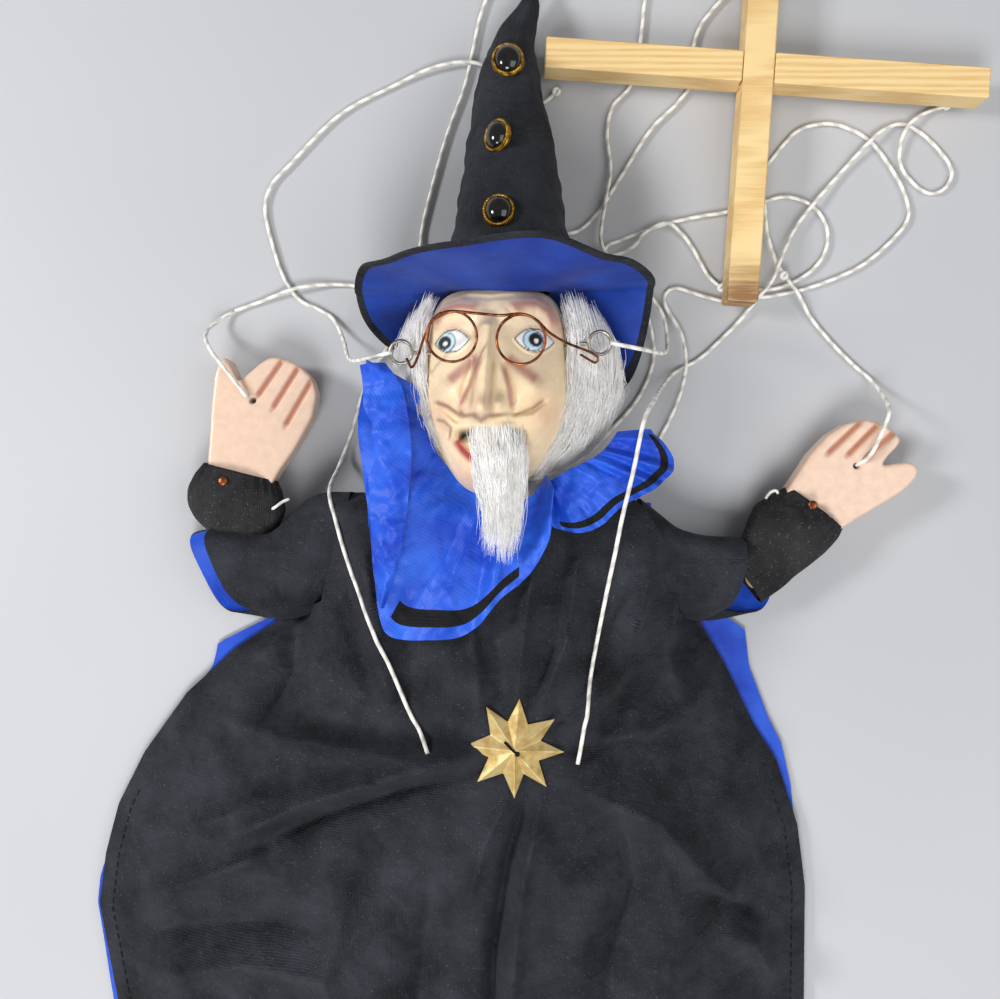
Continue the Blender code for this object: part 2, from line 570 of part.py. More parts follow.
# Hat
def cone_station(share):
    """Centre and radius of the hat cone a share of the way to its tip."""
    bend = max(0.0, share - 0.62) / 0.38
    centre = Vector((CONE_BASE_X + (CONE_BEND_X - CONE_BASE_X) * bend ** 1.6,
                     BRIM_PLANE + BRIM_THICKNESS / 2 + GAP
                     + (CONE_TOP_Y - BRIM_PLANE - BRIM_THICKNESS / 2 - GAP) * share,
                     CONE_BASE_Z + (CONE_TIP_Z - CONE_BASE_Z) * share ** 1.25))
    radius = CONE_BASE_RADIUS * (1 - share) ** 0.86 + 0.0012
    return centre, radius


cone_rings = []
for section in range(CONE_SECTIONS + 1):
    section_centre, section_radius = cone_station(section / CONE_SECTIONS)
    cone_rings.append(ring(section_centre, (1, 0, 0), (0, 0, 1), section_radius, section_radius, 20))
paint(loft("hat_cone", cone_rings), (0.012, 0.012, 0.014), 0.9)


def brim_point(angle, share):
    """A point of the brim: upright in front, drooping towards the shoulders behind."""
    reach = BRIM_INNER + (BRIM_OUTER - BRIM_INNER) * share
    x = BRIM_CENTRE_X + reach * math.cos(angle)
    z = BRIM_CENTRE_Z + reach * math.sin(angle)
    y = BRIM_PLANE
    if math.sin(angle) < 0:
        droop = BRIM_DROOP * abs(math.sin(2 * angle)) + BRIM_BACK_TUCK * abs(math.sin(angle))
        y -= droop * share ** 1.5
        lowest = BRIM_LOWEST + (BRIM_CENTRE_Z - BRIM_INNER - BRIM_LOWEST) * (1 - share)
        z = max(z, lowest)
    return Vector((x, y, z))


brim_shares = (0.0, 0.33, 0.67, 1.0)
brim_loops = [[brim_point(2 * math.pi * k / BRIM_STEPS, share) for k in range(BRIM_STEPS)] for share in brim_shares]
paint(add_solidify(loft("hat_brim", brim_loops, False), BRIM_THICKNESS), (0.008, 0.04, 0.55), 0.6)


def cone_top(y):
    """The highest line of the hat cone at a height y: its x, z and the slope there."""
    def at(height):
        low, high = 0.0, 1.0
        for _ in range(30):
            middle = (low + high) / 2
            if cone_station(middle)[0].y < height:
                low = middle
            else:
                high = middle
        centre, radius = cone_station(low)
        return centre.x, centre.z + radius
    x, z = at(y)
    before = at(y - 0.006)[1]
    after = at(y + 0.006)[1]
    return x, z, math.atan2(after - before, 0.012)


for number, button_y in enumerate(BUTTON_PLACES, 1):
    top_x, top_z, slope = cone_top(button_y)
    seat = Matrix.Translation((top_x, button_y, top_z)) @ Matrix.Rotation(slope, 4, "X")
    wide = BUTTON_HEIGHT if number == 2 else BUTTON_WIDTH
    tall = BUTTON_WIDTH if number == 2 else BUTTON_HEIGHT
    plate = bmesh.new()
    bmesh.ops.create_cone(plate, cap_ends=True, segments=24, radius1=0.5, radius2=0.5, depth=BEZEL_THICKNESS)
    bmesh.ops.scale(plate, vec=(wide, tall, 1.0), verts=plate.verts)
    bmesh.ops.translate(plate, vec=(0, 0, GAP + BEZEL_THICKNESS / 2), verts=plate.verts)
    bmesh.ops.transform(plate, matrix=seat, verts=plate.verts)
    paint(add_bevel(add_mesh(f"button_bezel_{number}", plate), 0.0006, 1), (0.60, 0.42, 0.12), 0.35, 1.0)
    dome = bmesh.new()
    bmesh.ops.create_uvsphere(dome, u_segments=18, v_segments=10, radius=0.5)
    bmesh.ops.bisect_plane(dome, geom=dome.verts[:] + dome.edges[:] + dome.faces[:], plane_co=(0, 0, 0.05),
                           plane_no=(0, 0, -1), clear_outer=True)
    bmesh.ops.holes_fill(dome, edges=[e for e in dome.edges if e.is_boundary], sides=0)
    bmesh.ops.scale(dome, vec=(wide * 0.74, tall * 0.74, 2 * DOME_RISE), verts=dome.verts)
    bmesh.ops.translate(dome, vec=(0, 0, 2 * GAP + BEZEL_THICKNESS - 0.1 * DOME_RISE), verts=dome.verts)
    bmesh.ops.transform(dome, matrix=seat, verts=dome.verts)
    bmesh.ops.recalc_face_normals(dome, faces=dome.faces[:])
    paint(add_mesh(f"button_dome_{number}", dome), (0.01, 0.01, 0.01), 0.1)

# Collar
collar_shape = bmesh.new()
collar_rows = [[collar_shape.verts.new(Vector(inner).lerp(Vector(outer), share)) for inner, outer in COLLAR_PAIRS]
               for share in (0.0, 0.5, 1.0)]
for inner_row, outer_row in zip(collar_rows, collar_rows[1:]):
    for k in range(len(COLLAR_PAIRS) - 1):
        collar_shape.faces.new((inner_row[k], inner_row[k + 1], outer_row[k + 1], outer_row[k]))
bmesh.ops.recalc_face_normals(collar_shape, faces=collar_shape.faces[:])
collar = add_mesh("collar", collar_shape)
softening = collar.modifiers.new("softening", "SUBSURF")
softening.levels = 1
softening.render_levels = 1
paint(add_solidify(collar, CLOTH), (0.008, 0.04, 0.65), 0.45)

# Star brooch
star_z = robe_height(*STAR_CENTRE) + CLOTH + GAP
star = bmesh.new()
star_rim = []
for tip in range(2 * STAR_POINTS):
    star_angle = math.pi * tip / STAR_POINTS + math.radians(82)
    star_radius = STAR_NOTCH_RADIUS if tip % 2 else STAR_TIP_RADIUS
    star_rim.append((STAR_CENTRE[0] + star_radius * math.cos(star_angle),
                     STAR_CENTRE[1] + star_radius * math.sin(star_angle)))
low_rim = [star.verts.new((x, y, star_z)) for x, y in star_rim]
high_rim = [star.verts.new((x, y, star_z + STAR_EDGE)) for x, y in star_rim]
peak = star.verts.new((*STAR_CENTRE, star_z + STAR_RISE))
star.faces.new(low_rim)
for k in range(2 * STAR_POINTS):
    following = (k + 1) % (2 * STAR_POINTS)
    star.faces.new((low_rim[k], low_rim[following], high_rim[following], high_rim[k]))
    star.faces.new((high_rim[k], high_rim[following], peak))
bmesh.ops.recalc_face_normals(star, faces=star.faces[:])
paint(add_mesh("star_brooch", star, smooth=False), (0.55, 0.40, 0.14), 0.35, 1.0)

# Arms
for side, shoulder, elbow, wrist, mirror, turn, mouth, mouth_way, wrist_seat in (
        ("left", SHOULDER_LEFT, ELBOW_LEFT, WRIST_LEFT, 1, 0.0, MOUTH_LEFT, MOUTH_WAY_LEFT,
         WRIST_SEAT_LEFT),
        ("right", SHOULDER_RIGHT, ELBOW_RIGHT, WRIST_RIGHT, -1, HAND_TURN_RIGHT, MOUTH_RIGHT, MOUTH_WAY_RIGHT,
         WRIST_SEAT_RIGHT)):
    upper = (elbow - shoulder).normalized()
    upper_end = elbow - upper * (JOINT_BALL + 4 * GAP)
    stations = ball_end(shoulder, upper, JOINT_BALL) + [(upper_end, ARM_RADIUS)]
    paint(limb(f"upper_arm_{side}", stations), (0.55, 0.36, 0.18), 0.7)

    root_way = Vector((0, mirror, 0))
    sleeve_root = shoulder + Vector((-mirror * SLEEVE_START, 0, 0))
    sleeve_rings = []
    for share in (0.0, 0.33, 0.67, 1.0):
        centre = sleeve_root.lerp(mouth, share)
        centre.z = SLEEVE_HALF_DEPTH + CLOTH + GAP
        across = root_way.lerp(mouth_way.normalized(), share).normalized()
        half_width = SLEEVE_HALF_WIDTH + (SLEEVE_MOUTH_HALF - SLEEVE_HALF_WIDTH) * share
        sleeve_rings.append(ring(centre, across, (0, 0, 1), half_width, SLEEVE_HALF_DEPTH))
    paint(add_solidify(loft(f"sleeve_{side}", sleeve_rings, False), CLOTH), (0.012, 0.012, 0.014), 0.9)

    outline = []
    for x, y in HAND_OUTLINE:
        point = Matrix.Rotation(turn, 2) @ Vector((mirror * x, y))
        outline.append((wrist.x + point.x, wrist.y + point.y))
    if mirror < 0:
        outline.reverse()
    hand = slab(f"hand_{side}", outline, wrist.z - HAND_THICKNESS / 2, HAND_THICKNESS, HAND_ROUND)
    hole_place = Matrix.Rotation(turn, 2) @ Vector((mirror * HAND_HOLE[0], HAND_HOLE[1]))
    drill = bmesh.new()
    bmesh.ops.create_cone(drill, cap_ends=True, segments=16, radius1=HAND_HOLE_RADIUS, radius2=HAND_HOLE_RADIUS,
                          depth=3 * HAND_THICKNESS)
    bmesh.ops.translate(drill, vec=(wrist.x + hole_place.x, wrist.y + hole_place.y, wrist.z), verts=drill.verts)
    paint(cut(hand, add_mesh(f"hand_drill_{side}", drill, cutters)), (0.78, 0.47, 0.32), 0.4)

    lower = (wrist - elbow).normalized()
    fingers = Matrix.Rotation(turn, 2) @ Vector((mirror * 0.35, 0.94))
    hand_way = Vector((fingers.x, fingers.y, 0)).normalized()
    forearm_end = wrist - lower * wrist_seat
    forearm_end.z = wrist.z + 0.002
    stations = ball_end(elbow, lower, JOINT_BALL) + [(forearm_end, ARM_RADIUS)]
    paint(limb(f"forearm_{side}", stations), (0.55, 0.36, 0.18), 0.7)

    cuff_across = Vector((-lower.y, lower.x, 0)).normalized()
    cuff_rings = []
    for reach, swell in ((CUFF_ABOVE_WRIST, 1.0), (-0.006, 1.06), (-CUFF_BELOW_WRIST, 0.86)):
        centre = wrist + lower * reach
        centre.z = CUFF_HALF_DEPTH * 1.06 + CUFF_WALL + GAP
        cuff_rings.append(ring(centre, cuff_across, (0, 0, 1), CUFF_HALF_WIDTH * swell, CUFF_HALF_DEPTH * swell))
    paint(add_solidify(loft(f"cuff_{side}", cuff_rings, False), CUFF_WALL), (0.012, 0.012, 0.014), 0.9)

    tack_place = wrist - lower * 0.003
    tack_z = 2 * CUFF_HALF_DEPTH * 1.06 + 1.5 * CUFF_WALL + 2 * GAP
    tack = bmesh.new()
    bmesh.ops.create_cone(tack, cap_ends=True, segments=14, radius1=TACK_RADIUS, radius2=TACK_RADIUS * 0.6,
                          depth=TACK_THICKNESS)
    bmesh.ops.translate(tack, vec=(tack_place.x, tack_place.y, tack_z + TACK_THICKNESS / 2), verts=tack.verts)
    paint(add_mesh(f"cuff_tack_{side}", tack), (0.45, 0.20, 0.10), 0.4, 1.0)

# Legs
for side, way in (("left", -1), ("right", 1)):
    leg_x = BODY_AXIS_X + way * HIP_SPREAD
    down = Vector((0, -1, 0))
    hip = Vector((leg_x, HIP_Y, LEG_Z))
    knee = Vector((leg_x, KNEE_Y, LEG_Z))
    ankle = Vector((leg_x, ANKLE_Y, LEG_Z))
    thigh_end = knee - down * (SHIN_RADIUS + GAP)
    paint(limb(f"thigh_{side}", ball_end(hip, down, THIGH_RADIUS) + [(thigh_end, SHIN_RADIUS)]),
          (0.55, 0.36, 0.18), 0.7)
    paint(limb(f"shin_{side}", ball_end(knee, down, SHIN_RADIUS) + [(ankle, SHIN_RADIUS * 0.9)]),
          (0.55, 0.36, 0.18), 0.7)
    heel_y = BOOT_SOLE_Y + BOOT_RADIUS
    boot_stations = (
        (Vector((leg_x, ANKLE_Y - GAP, LEG_Z)), (0, 0, 1), BOOT_RADIUS * 0.96, BOOT_RADIUS * 0.96),
        (Vector((leg_x, heel_y + 0.016, LEG_Z)), (0, 0, 1), BOOT_RADIUS, BOOT_RADIUS),
        (Vector((leg_x, heel_y, LEG_Z + 0.004)), (0, 0.7, 0.7), BOOT_RADIUS, BOOT_RADIUS * 1.25),
        (Vector((leg_x, heel_y, LEG_Z + 0.018)), (0, 1, 0), BOOT_RADIUS * 1.05, BOOT_RADIUS),
        (Vector((leg_x, heel_y - 0.002, BOOT_TOE_Z - 0.010)), (0, 1, 0), BOOT_RADIUS, BOOT_RADIUS * 0.8),
        (Vector((leg_x, heel_y - 0.003, BOOT_TOE_Z)), (0, 1, 0), BOOT_RADIUS * 0.5, BOOT_RADIUS * 0.5))
    boot_rings = [ring(centre, (1, 0, 0), up, width, depth) for centre, up, width, depth in boot_stations]
    paint(loft(f"boot_{side}", boot_rings), (0.02, 0.015, 0.012), 0.5)

# Control
along_cross = Vector((math.cos(BAR_TURN), math.sin(BAR_TURN), 0))
along_main = Vector((-math.sin(BAR_TURN), math.cos(BAR_TURN), 0))


def bar(name, start, along, notch_low):
    """A square wooden bar with a notch of half its depth at the crossing."""
    across = along.cross(Vector((0, 0, 1)))
    corners = [start - across * BAR_SIDE / 2, start + across * BAR_SIDE / 2,
               start + across * BAR_SIDE / 2 + along * BAR_LENGTH, start - across * BAR_SIDE / 2 + along * BAR_LENGTH]
    piece = slab(name, [(p.x, p.y) for p in corners], BAR_LIFT, BAR_SIDE, 0)
    block = bmesh.new()
    bmesh.ops.create_cube(block, size=1.0)
    width = BAR_SIDE + 2 * GAP
    bmesh.ops.scale(block, vec=(width, 2 * BAR_SIDE, BAR_SIDE), verts=block.verts)
    bmesh.ops.rotate(block, cent=(0, 0, 0), matrix=Matrix.Rotation(math.atan2(along.y, along.x), 3, "Z"),
                     verts=block.verts)
    shift = (BAR_SIDE - GAP) / 2
    middle = BAR_LIFT + BAR_SIDE / 2 + (-shift if notch_low else shift)
    bmesh.ops.translate(block, vec=CROSSING + Vector((0, 0, middle)), verts=block.verts)
    cut(piece, add_mesh("notch_" + name, block, cutters))
    return paint(add_bevel(piece, BAR_ROUND, 1), (0.72, 0.46, 0.18), 0.5)


main_foot = CROSSING - along_main * MAIN_BAR_BELOW
cross_foot = CROSSING - along_cross * CROSS_BAR_LEFT
bar("control_main_bar", main_foot, along_main, True)
bar("control_cross_bar", cross_foot, along_cross, False)

brad_places = {
    "brad_main_low": main_foot + along_main * BRAD_INSET,
    "brad_main_high": main_foot + along_main * (BAR_LENGTH - BRAD_INSET),
    "brad_cross_left": cross_foot + along_cross * BRAD_INSET,
    "brad_cross_right": cross_foot + along_cross * (BAR_LENGTH - BRAD_INSET),
}
for brad_name, place in brad_places.items():
    heights = (GAP, GAP + BRAD_HEAD_THICKNESS, GAP + BRAD_HEAD_THICKNESS, BAR_LIFT - GAP)
    radii = (BRAD_HEAD, BRAD_HEAD, BRAD_SHANK, BRAD_SHANK)
    brad_rings = [ring((place.x, place.y, z), (1, 0, 0), (0, 1, 0), r, r, 12) for z, r in zip(heights, radii)]
    paint(loft(brad_name, brad_rings), (0.30, 0.16, 0.08), 0.6, 0.8)

# Strings
def settled(point):
    """A route point, laid on the robe where its height says so."""
    x, y, z = point
    if z is ON_ROBE:
        z = robe_height(x, y) + CLOTH + STRING_RADIUS + ON_ROBE_LIFT
    return x, y, z


for string_name, route in STRING_ROUTES.items():
    points = smooth_route([settled(point) for point in route], STRING_POINTS)
    paint(wire(string_name, points, STRING_RADIUS), (0.82, 0.81, 0.76), 0.8)
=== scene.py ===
"""Looks of a robed, bearded string puppet that lies on its back beside its crossed wooden control."""
import json
import logging
import math
from dataclasses import Field, dataclass, field
from enum import Enum
from functools import partial
from typing import Callable, Sequence

import bmesh
import bpy
import numpy as np
from mathutils import Matrix, Vector, noise

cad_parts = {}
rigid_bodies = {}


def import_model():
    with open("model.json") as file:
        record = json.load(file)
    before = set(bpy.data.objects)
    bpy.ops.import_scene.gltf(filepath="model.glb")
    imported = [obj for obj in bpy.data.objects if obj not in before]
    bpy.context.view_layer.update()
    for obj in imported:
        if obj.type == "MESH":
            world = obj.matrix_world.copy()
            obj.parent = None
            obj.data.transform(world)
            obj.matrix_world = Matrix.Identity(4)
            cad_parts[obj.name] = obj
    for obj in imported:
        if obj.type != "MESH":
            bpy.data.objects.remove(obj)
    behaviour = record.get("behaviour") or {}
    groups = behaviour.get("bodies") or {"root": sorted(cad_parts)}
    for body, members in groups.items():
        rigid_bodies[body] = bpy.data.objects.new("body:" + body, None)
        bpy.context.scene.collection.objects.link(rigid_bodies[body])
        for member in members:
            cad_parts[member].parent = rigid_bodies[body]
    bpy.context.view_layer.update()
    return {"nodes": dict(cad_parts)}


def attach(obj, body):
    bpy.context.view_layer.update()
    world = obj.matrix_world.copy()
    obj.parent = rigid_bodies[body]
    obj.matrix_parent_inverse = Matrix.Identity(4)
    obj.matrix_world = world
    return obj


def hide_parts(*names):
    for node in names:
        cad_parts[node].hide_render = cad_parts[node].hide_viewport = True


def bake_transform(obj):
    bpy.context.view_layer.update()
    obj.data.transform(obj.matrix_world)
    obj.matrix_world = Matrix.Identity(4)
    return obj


LOG = logging.getLogger("puppet")
MM = 0.001
BAND_PERIOD = 0.314     # metres per band of a Wave texture at scale 1

Point = tuple[float, float, float]
Spot = tuple[float, float]         # a place seen from above, or two sizes
Material = bpy.types.Material


class Body(str, Enum):
    """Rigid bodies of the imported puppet."""

    TORSO = "torso"
    HEAD = "head"
    ARM_LEFT = "arm_left"
    ARM_RIGHT = "arm_right"
    LOWER_ARM_LEFT = "lower_arm_left"
    LOWER_ARM_RIGHT = "lower_arm_right"
    LEG_LEFT = "leg_left"
    LEG_RIGHT = "leg_right"
    LOWER_LEG_LEFT = "lower_leg_left"
    LOWER_LEG_RIGHT = "lower_leg_right"
    CONTROL = "control"


class Side(Enum):
    """The two sides of the puppet as the camera sees them, with the sign of X."""

    LEFT = -1
    RIGHT = 1

    @property
    def word(self) -> str:
        """Lower-case name of the side."""
        return self.name.lower()


def linear(code: str) -> tuple[float, float, float, float]:
    """Turn an sRGB hex colour into linear values.

    Args:
        code: Six hex digits, with or without a leading hash.

    Returns:
        Linear red, green, blue and an alpha of 1.
    """
    digits = code.lstrip("#")
    parts = [int(digits[k:k + 2], 16) / 255 for k in (0, 2, 4)]
    curved = [c / 12.92 if c <= 0.04045 else ((c + 0.055) / 1.055) ** 2.4 for c in parts]
    return (*curved, 1.0)


class Graph:
    """A material's node graph under construction."""

    def __init__(self, name: str) -> None:
        """Start a material that holds a Principled shader."""
        self.material = bpy.data.materials.new(name)
        self.material.use_nodes = True
        self.tree = self.material.node_tree
        self.shader = self.tree.nodes["Principled BSDF"]

    def add(self, kind: str, inputs: dict | None = None, stops: Sequence[tuple[float, str]] = (),
            **settings: object) -> bpy.types.Node:
        """Add a node with its settings, and link or set its inputs.

        Args:
            kind: The node's type name, without the ShaderNode that all begin with.
            inputs: Input name or number to a socket, a colour code or a value.
            stops: Place and colour code of each stop of a colour ramp, in order.
            settings: Attributes of the node.

        Returns:
            The new node.
        """
        node = self.tree.nodes.new("ShaderNode" + kind)
        for key, value in settings.items():
            setattr(node, key, value)
        for key, value in (inputs or {}).items():
            self.feed(node.inputs[key], value)
        if stops:
            elements = node.color_ramp.elements
            while len(elements) < len(stops):
                elements.new(1.0)
            for element, (place, code) in zip(elements, stops):
                element.position = place
                element.color = linear(code)
        return node

    def feed(self, socket: bpy.types.NodeSocket, value: object) -> None:
        """Link a socket to another, or set it to a colour code or a value."""
        if isinstance(value, bpy.types.NodeSocket):
            self.tree.links.new(value, socket)
        elif isinstance(value, str):
            socket.default_value = linear(value)
        else:
            socket.default_value = value

    def shade(self, **values: object) -> None:
        """Feed the shader's sockets, named with underscores for spaces."""
        for key, value in values.items():
            self.feed(self.shader.inputs[key.replace("_", " ")], value)


@dataclass(frozen=True)
class Finish:
    """A surface of the puppet, which becomes one material."""

    name: str

    def wire(self, graph: Graph) -> None:
        """Wire the nodes of the finish."""
        raise NotImplementedError

    def material(self) -> Material:
        """Build the material."""
        graph = Graph(self.name)
        self.wire(graph)
        return graph.material


@dataclass(frozen=True)
class Cotton(Finish):
    """Plain woven cotton, dyed and a little dusty: matt, with fine threads and pale lint."""

    deep: str
    worn: str
    thread_mm: float = 0.9      # drawn coarser than the real 0.4 mm so that the threads show
    lint: float = 0.35

    def wire(self, graph: Graph) -> None:
        """Wire the cloth from crossing threads, patches of wear and specks of lint."""
        place = graph.add("TexCoord").outputs["Object"]
        scale = BAND_PERIOD / (self.thread_mm * MM)
        warp = graph.add("TexWave", {"Vector": place, "Scale": scale, "Distortion": 1.2, "Detail": 1.0},
            bands_direction="X")
        weft = graph.add("TexWave", {"Vector": place, "Scale": scale, "Distortion": 1.2, "Detail": 1.0},
            bands_direction="Y")
        weave = graph.add("Math", {0: warp.outputs["Fac"], 1: weft.outputs["Fac"]}, operation="ADD")
        wear = graph.add("TexNoise", {"Vector": place, "Scale": 38.0, "Detail": 5.0, "Roughness": 0.6})
        tone = graph.add("ValToRGB", {"Fac": wear.outputs["Fac"]},
            stops=[(0.34, self.deep), (0.72, self.worn)]).outputs["Color"]
        speck = graph.add("TexNoise", {"Vector": place, "Scale": 900.0, "Detail": 2.0})
        dust = graph.add("MapRange", {"Value": speck.outputs["Fac"], "From Min": 0.63, "From Max": 0.74,
            "To Max": self.lint})
        tinted = graph.add("Mix", {"Factor": dust.outputs["Result"], 6: tone, 7: "#8d8f96"},
            data_type="RGBA")
        shadow = graph.add("MapRange", {"Value": weave.outputs[0], "From Max": 2.0, "To Min": 0.74,
            "To Max": 1.08})
        colour = graph.add("Mix", {"Factor": 1.0, 6: tinted.outputs[2], 7: shadow.outputs["Result"]},
            data_type="RGBA", blend_type="MULTIPLY")
        crease = graph.add("TexNoise", {"Vector": place, "Scale": 120.0, "Detail": 4.0, "Distortion": 0.6})
        wrinkled = graph.add("Bump", {"Height": crease.outputs["Fac"], "Distance": 2.2 * MM, "Strength": 1.0})
        surface = graph.add("Bump", {"Height": weave.outputs[0], "Distance": 0.12 * MM, "Strength": 0.8,
            "Normal": wrinkled.outputs["Normal"]})
        graph.shade(Base_Color=colour.outputs[2], Roughness=0.92, Sheen_Weight=0.02, Sheen_Roughness=0.5,
            Specular_IOR_Level=0.3, Normal=surface.outputs["Normal"])


@dataclass(frozen=True)
class Satin(Finish):
    """Twill satin lining: slanting ribs, a soft shine, patches of painted sheen and fine creases."""

    deep: str
    # bright is a lit tone of the same blue, used for the painted sheen
    bright: str
    rib_mm: float = 0.8         # drawn coarser than the real 0.3 mm so that the twill shows
    roughness: float = 0.42

    def wire(self, graph: Graph) -> None:
        """Wire the lining from twill ribs and patches of painted sheen over creased cloth."""
        place = graph.add("TexCoord").outputs["Object"]
        twill = graph.add("TexWave", {"Vector": place, "Scale": BAND_PERIOD / (self.rib_mm * MM),
            "Distortion": 0.8, "Detail": 1.0}, bands_direction="DIAGONAL")
        # Colour drifts in patches between the deep tone and the lit tone: painted sheen.
        patch = graph.add("TexNoise", {"Vector": place, "Scale": 45.0, "Detail": 4.0})
        tone = graph.add("ValToRGB", {"Fac": patch.outputs["Fac"]},
            stops=[(0.32, self.deep), (0.7, self.bright)]).outputs["Color"]
        shadow = graph.add("MapRange", {"Value": twill.outputs["Fac"], "To Min": 0.90, "To Max": 1.06})
        colour = graph.add("Mix", {"Factor": 1.0, 6: tone, 7: shadow.outputs["Result"]}, data_type="RGBA",
            blend_type="MULTIPLY")
        crease = graph.add("TexNoise", {"Vector": place, "Scale": 150.0, "Detail": 3.0, "Distortion": 1.0})
        creased = graph.add("Bump", {"Height": crease.outputs["Fac"], "Distance": 0.7 * MM, "Strength": 0.6})
        surface = graph.add("Bump", {"Height": twill.outputs["Fac"], "Distance": 0.05 * MM,
            "Strength": 0.6, "Normal": creased.outputs["Normal"]})
        graph.shade(Base_Color=colour.outputs[2], Roughness=self.roughness, Sheen_Weight=0.04,
            Specular_IOR_Level=0.3, Normal=surface.outputs["Normal"])


@dataclass(frozen=True)
class Paint(Finish):
    """Brushed paint, its colours in the mesh's own attribute: semi-gloss with faint brush marks."""

    roughness: float
    grain_mm: float
    coat: float = 0.0

    def wire(self, graph: Graph) -> None:
        """Wire the paint from the attribute, mottled a little, over brushed bumps."""
        place = graph.add("TexCoord").outputs["Object"]
        paint = graph.add("VertexColor", layer_name="paint")
        mottle = graph.add("TexNoise", {"Vector": place, "Scale": 260.0, "Detail": 5.0})
        shade = graph.add("MapRange", {"Value": mottle.outputs["Fac"], "From Min": 0.3, "From Max": 0.7,
            "To Min": 0.93, "To Max": 1.05})
        colour = graph.add("Mix", {"Factor": 1.0, 6: paint.outputs["Color"], 7: shade.outputs["Result"]},
            data_type="RGBA", blend_type="MULTIPLY")
        brush = graph.add("TexNoise", {"Vector": place, "Scale": 1.0 / (self.grain_mm * MM), "Detail": 4.0,
            "Distortion": 0.8})
        surface = graph.add("Bump", {"Height": brush.outputs["Fac"], "Distance": 0.12 * MM, "Strength": 0.6})
        graph.shade(Base_Color=colour.outputs[2], Roughness=self.roughness, Coat_Weight=self.coat,
            Normal=surface.outputs["Normal"])


@dataclass(frozen=True)
class Timber(Finish):
    """Planed pine: pale straw colour with darker growth lines along the bar."""

    pale: str
    dark: str
    along: Point
    line_mm: float = 3.2
    stain_at: Point | None = None
    stain_reach_mm: float = 26.0

    def wire(self, graph: Graph) -> None:
        """Wire the wood from stretched rings, fibres and an end stain where there is one."""
        place = graph.add("TexCoord").outputs["Object"]
        turn = math.atan2(self.along[1], self.along[0])
        laid = graph.add("Mapping", {"Vector": place, "Rotation": (0.0, 0.0, -turn),
            "Scale": (0.06, 1.0, 1.0)}, vector_type="POINT")
        rings = graph.add("TexWave", {"Vector": laid.outputs[0],
            "Scale": BAND_PERIOD / (self.line_mm * MM), "Distortion": 5.0, "Detail": 3.0,
            "Detail Scale": 1.4}, bands_direction="Y")
        fibre = graph.add("TexNoise", {"Vector": laid.outputs[0], "Scale": 1500.0, "Detail": 4.0})
        grain = graph.add("Math", {0: rings.outputs["Fac"], 1: fibre.outputs["Fac"]}, operation="MULTIPLY")
        colour = graph.add("ValToRGB", {"Fac": grain.outputs[0]},
            stops=[(0.05, self.pale), (0.75, self.dark)]).outputs["Color"]
        if self.stain_at is not None:
            reach = graph.add("VectorMath", {0: place, 1: self.stain_at}, operation="DISTANCE")
            blot = graph.add("TexNoise", {"Vector": laid.outputs[0], "Scale": 420.0, "Detail": 5.0})
            near = graph.add("MapRange", {"Value": reach.outputs["Value"], "To Min": 1.0, "To Max": 0.0,
                "From Max": self.stain_reach_mm * MM})
            amount = graph.add("Math", {0: near.outputs["Result"], 1: blot.outputs["Fac"]},
                operation="MULTIPLY")
            strong = graph.add("MapRange", {"Value": amount.outputs[0], "From Min": 0.08, "From Max": 0.42,
                "To Max": 0.85})
            stained = graph.add("Mix", {"Factor": strong.outputs["Result"], 6: colour, 7: "#7a4a26"},
                data_type="RGBA")
            colour = stained.outputs[2]
        surface = graph.add("Bump", {"Height": grain.outputs[0], "Distance": 0.15 * MM, "Strength": 0.6})
        graph.shade(Base_Color=colour, Roughness=0.55, Normal=surface.outputs["Normal"])


@dataclass(frozen=True)
class Metal(Finish):
    """Stamped or drawn metal: a tinted mirror broken by rub marks and tarnish."""

    bright: str
    tarnish: str
    roughness: float
    mark_mm: float = 1.2
    metallic: float = 1.0

    def wire(self, graph: Graph) -> None:
        """Wire the metal with patches of tarnish and a fine uneven surface."""
        place = graph.add("TexCoord").outputs["Object"]
        patch = graph.add("TexNoise", {"Vector": place, "Scale": 0.5 / (self.mark_mm * MM), "Detail": 6.0})
        colour = graph.add("ValToRGB", {"Fac": patch.outputs["Fac"]},
            stops=[(0.35, self.tarnish), (0.6, self.bright)]).outputs["Color"]
        rough = graph.add("MapRange", {"Value": patch.outputs["Fac"], "From Min": 0.3, "From Max": 0.7,
            "To Min": min(1.0, self.roughness + 0.2), "To Max": self.roughness})
        fine = graph.add("TexNoise", {"Vector": place, "Scale": 1.0 / (0.4 * MM), "Detail": 3.0})
        surface = graph.add("Bump", {"Height": fine.outputs["Fac"], "Distance": 0.05 * MM, "Strength": 0.5})
        graph.shade(Base_Color=colour, Metallic=self.metallic, Roughness=rough.outputs["Result"],
            Normal=surface.outputs["Normal"])


@dataclass(frozen=True)
class Fur(Finish):
    """Coarse goat hair: pale strands of uneven colour with a dull shine."""

    root: str
    tip: str

    def wire(self, graph: Graph) -> None:
        """Wire the hair with colour that drifts from lock to lock."""
        place = graph.add("TexCoord").outputs["Object"]
        lock = graph.add("TexNoise", {"Vector": place, "Scale": 160.0, "Detail": 2.0})
        tone = graph.add("ValToRGB", {"Fac": lock.outputs["Fac"]},
            stops=[(0.30, self.root), (0.60, self.tip)])
        graph.shade(Base_Color=tone.outputs["Color"], Roughness=0.55, Specular_IOR_Level=0.35)


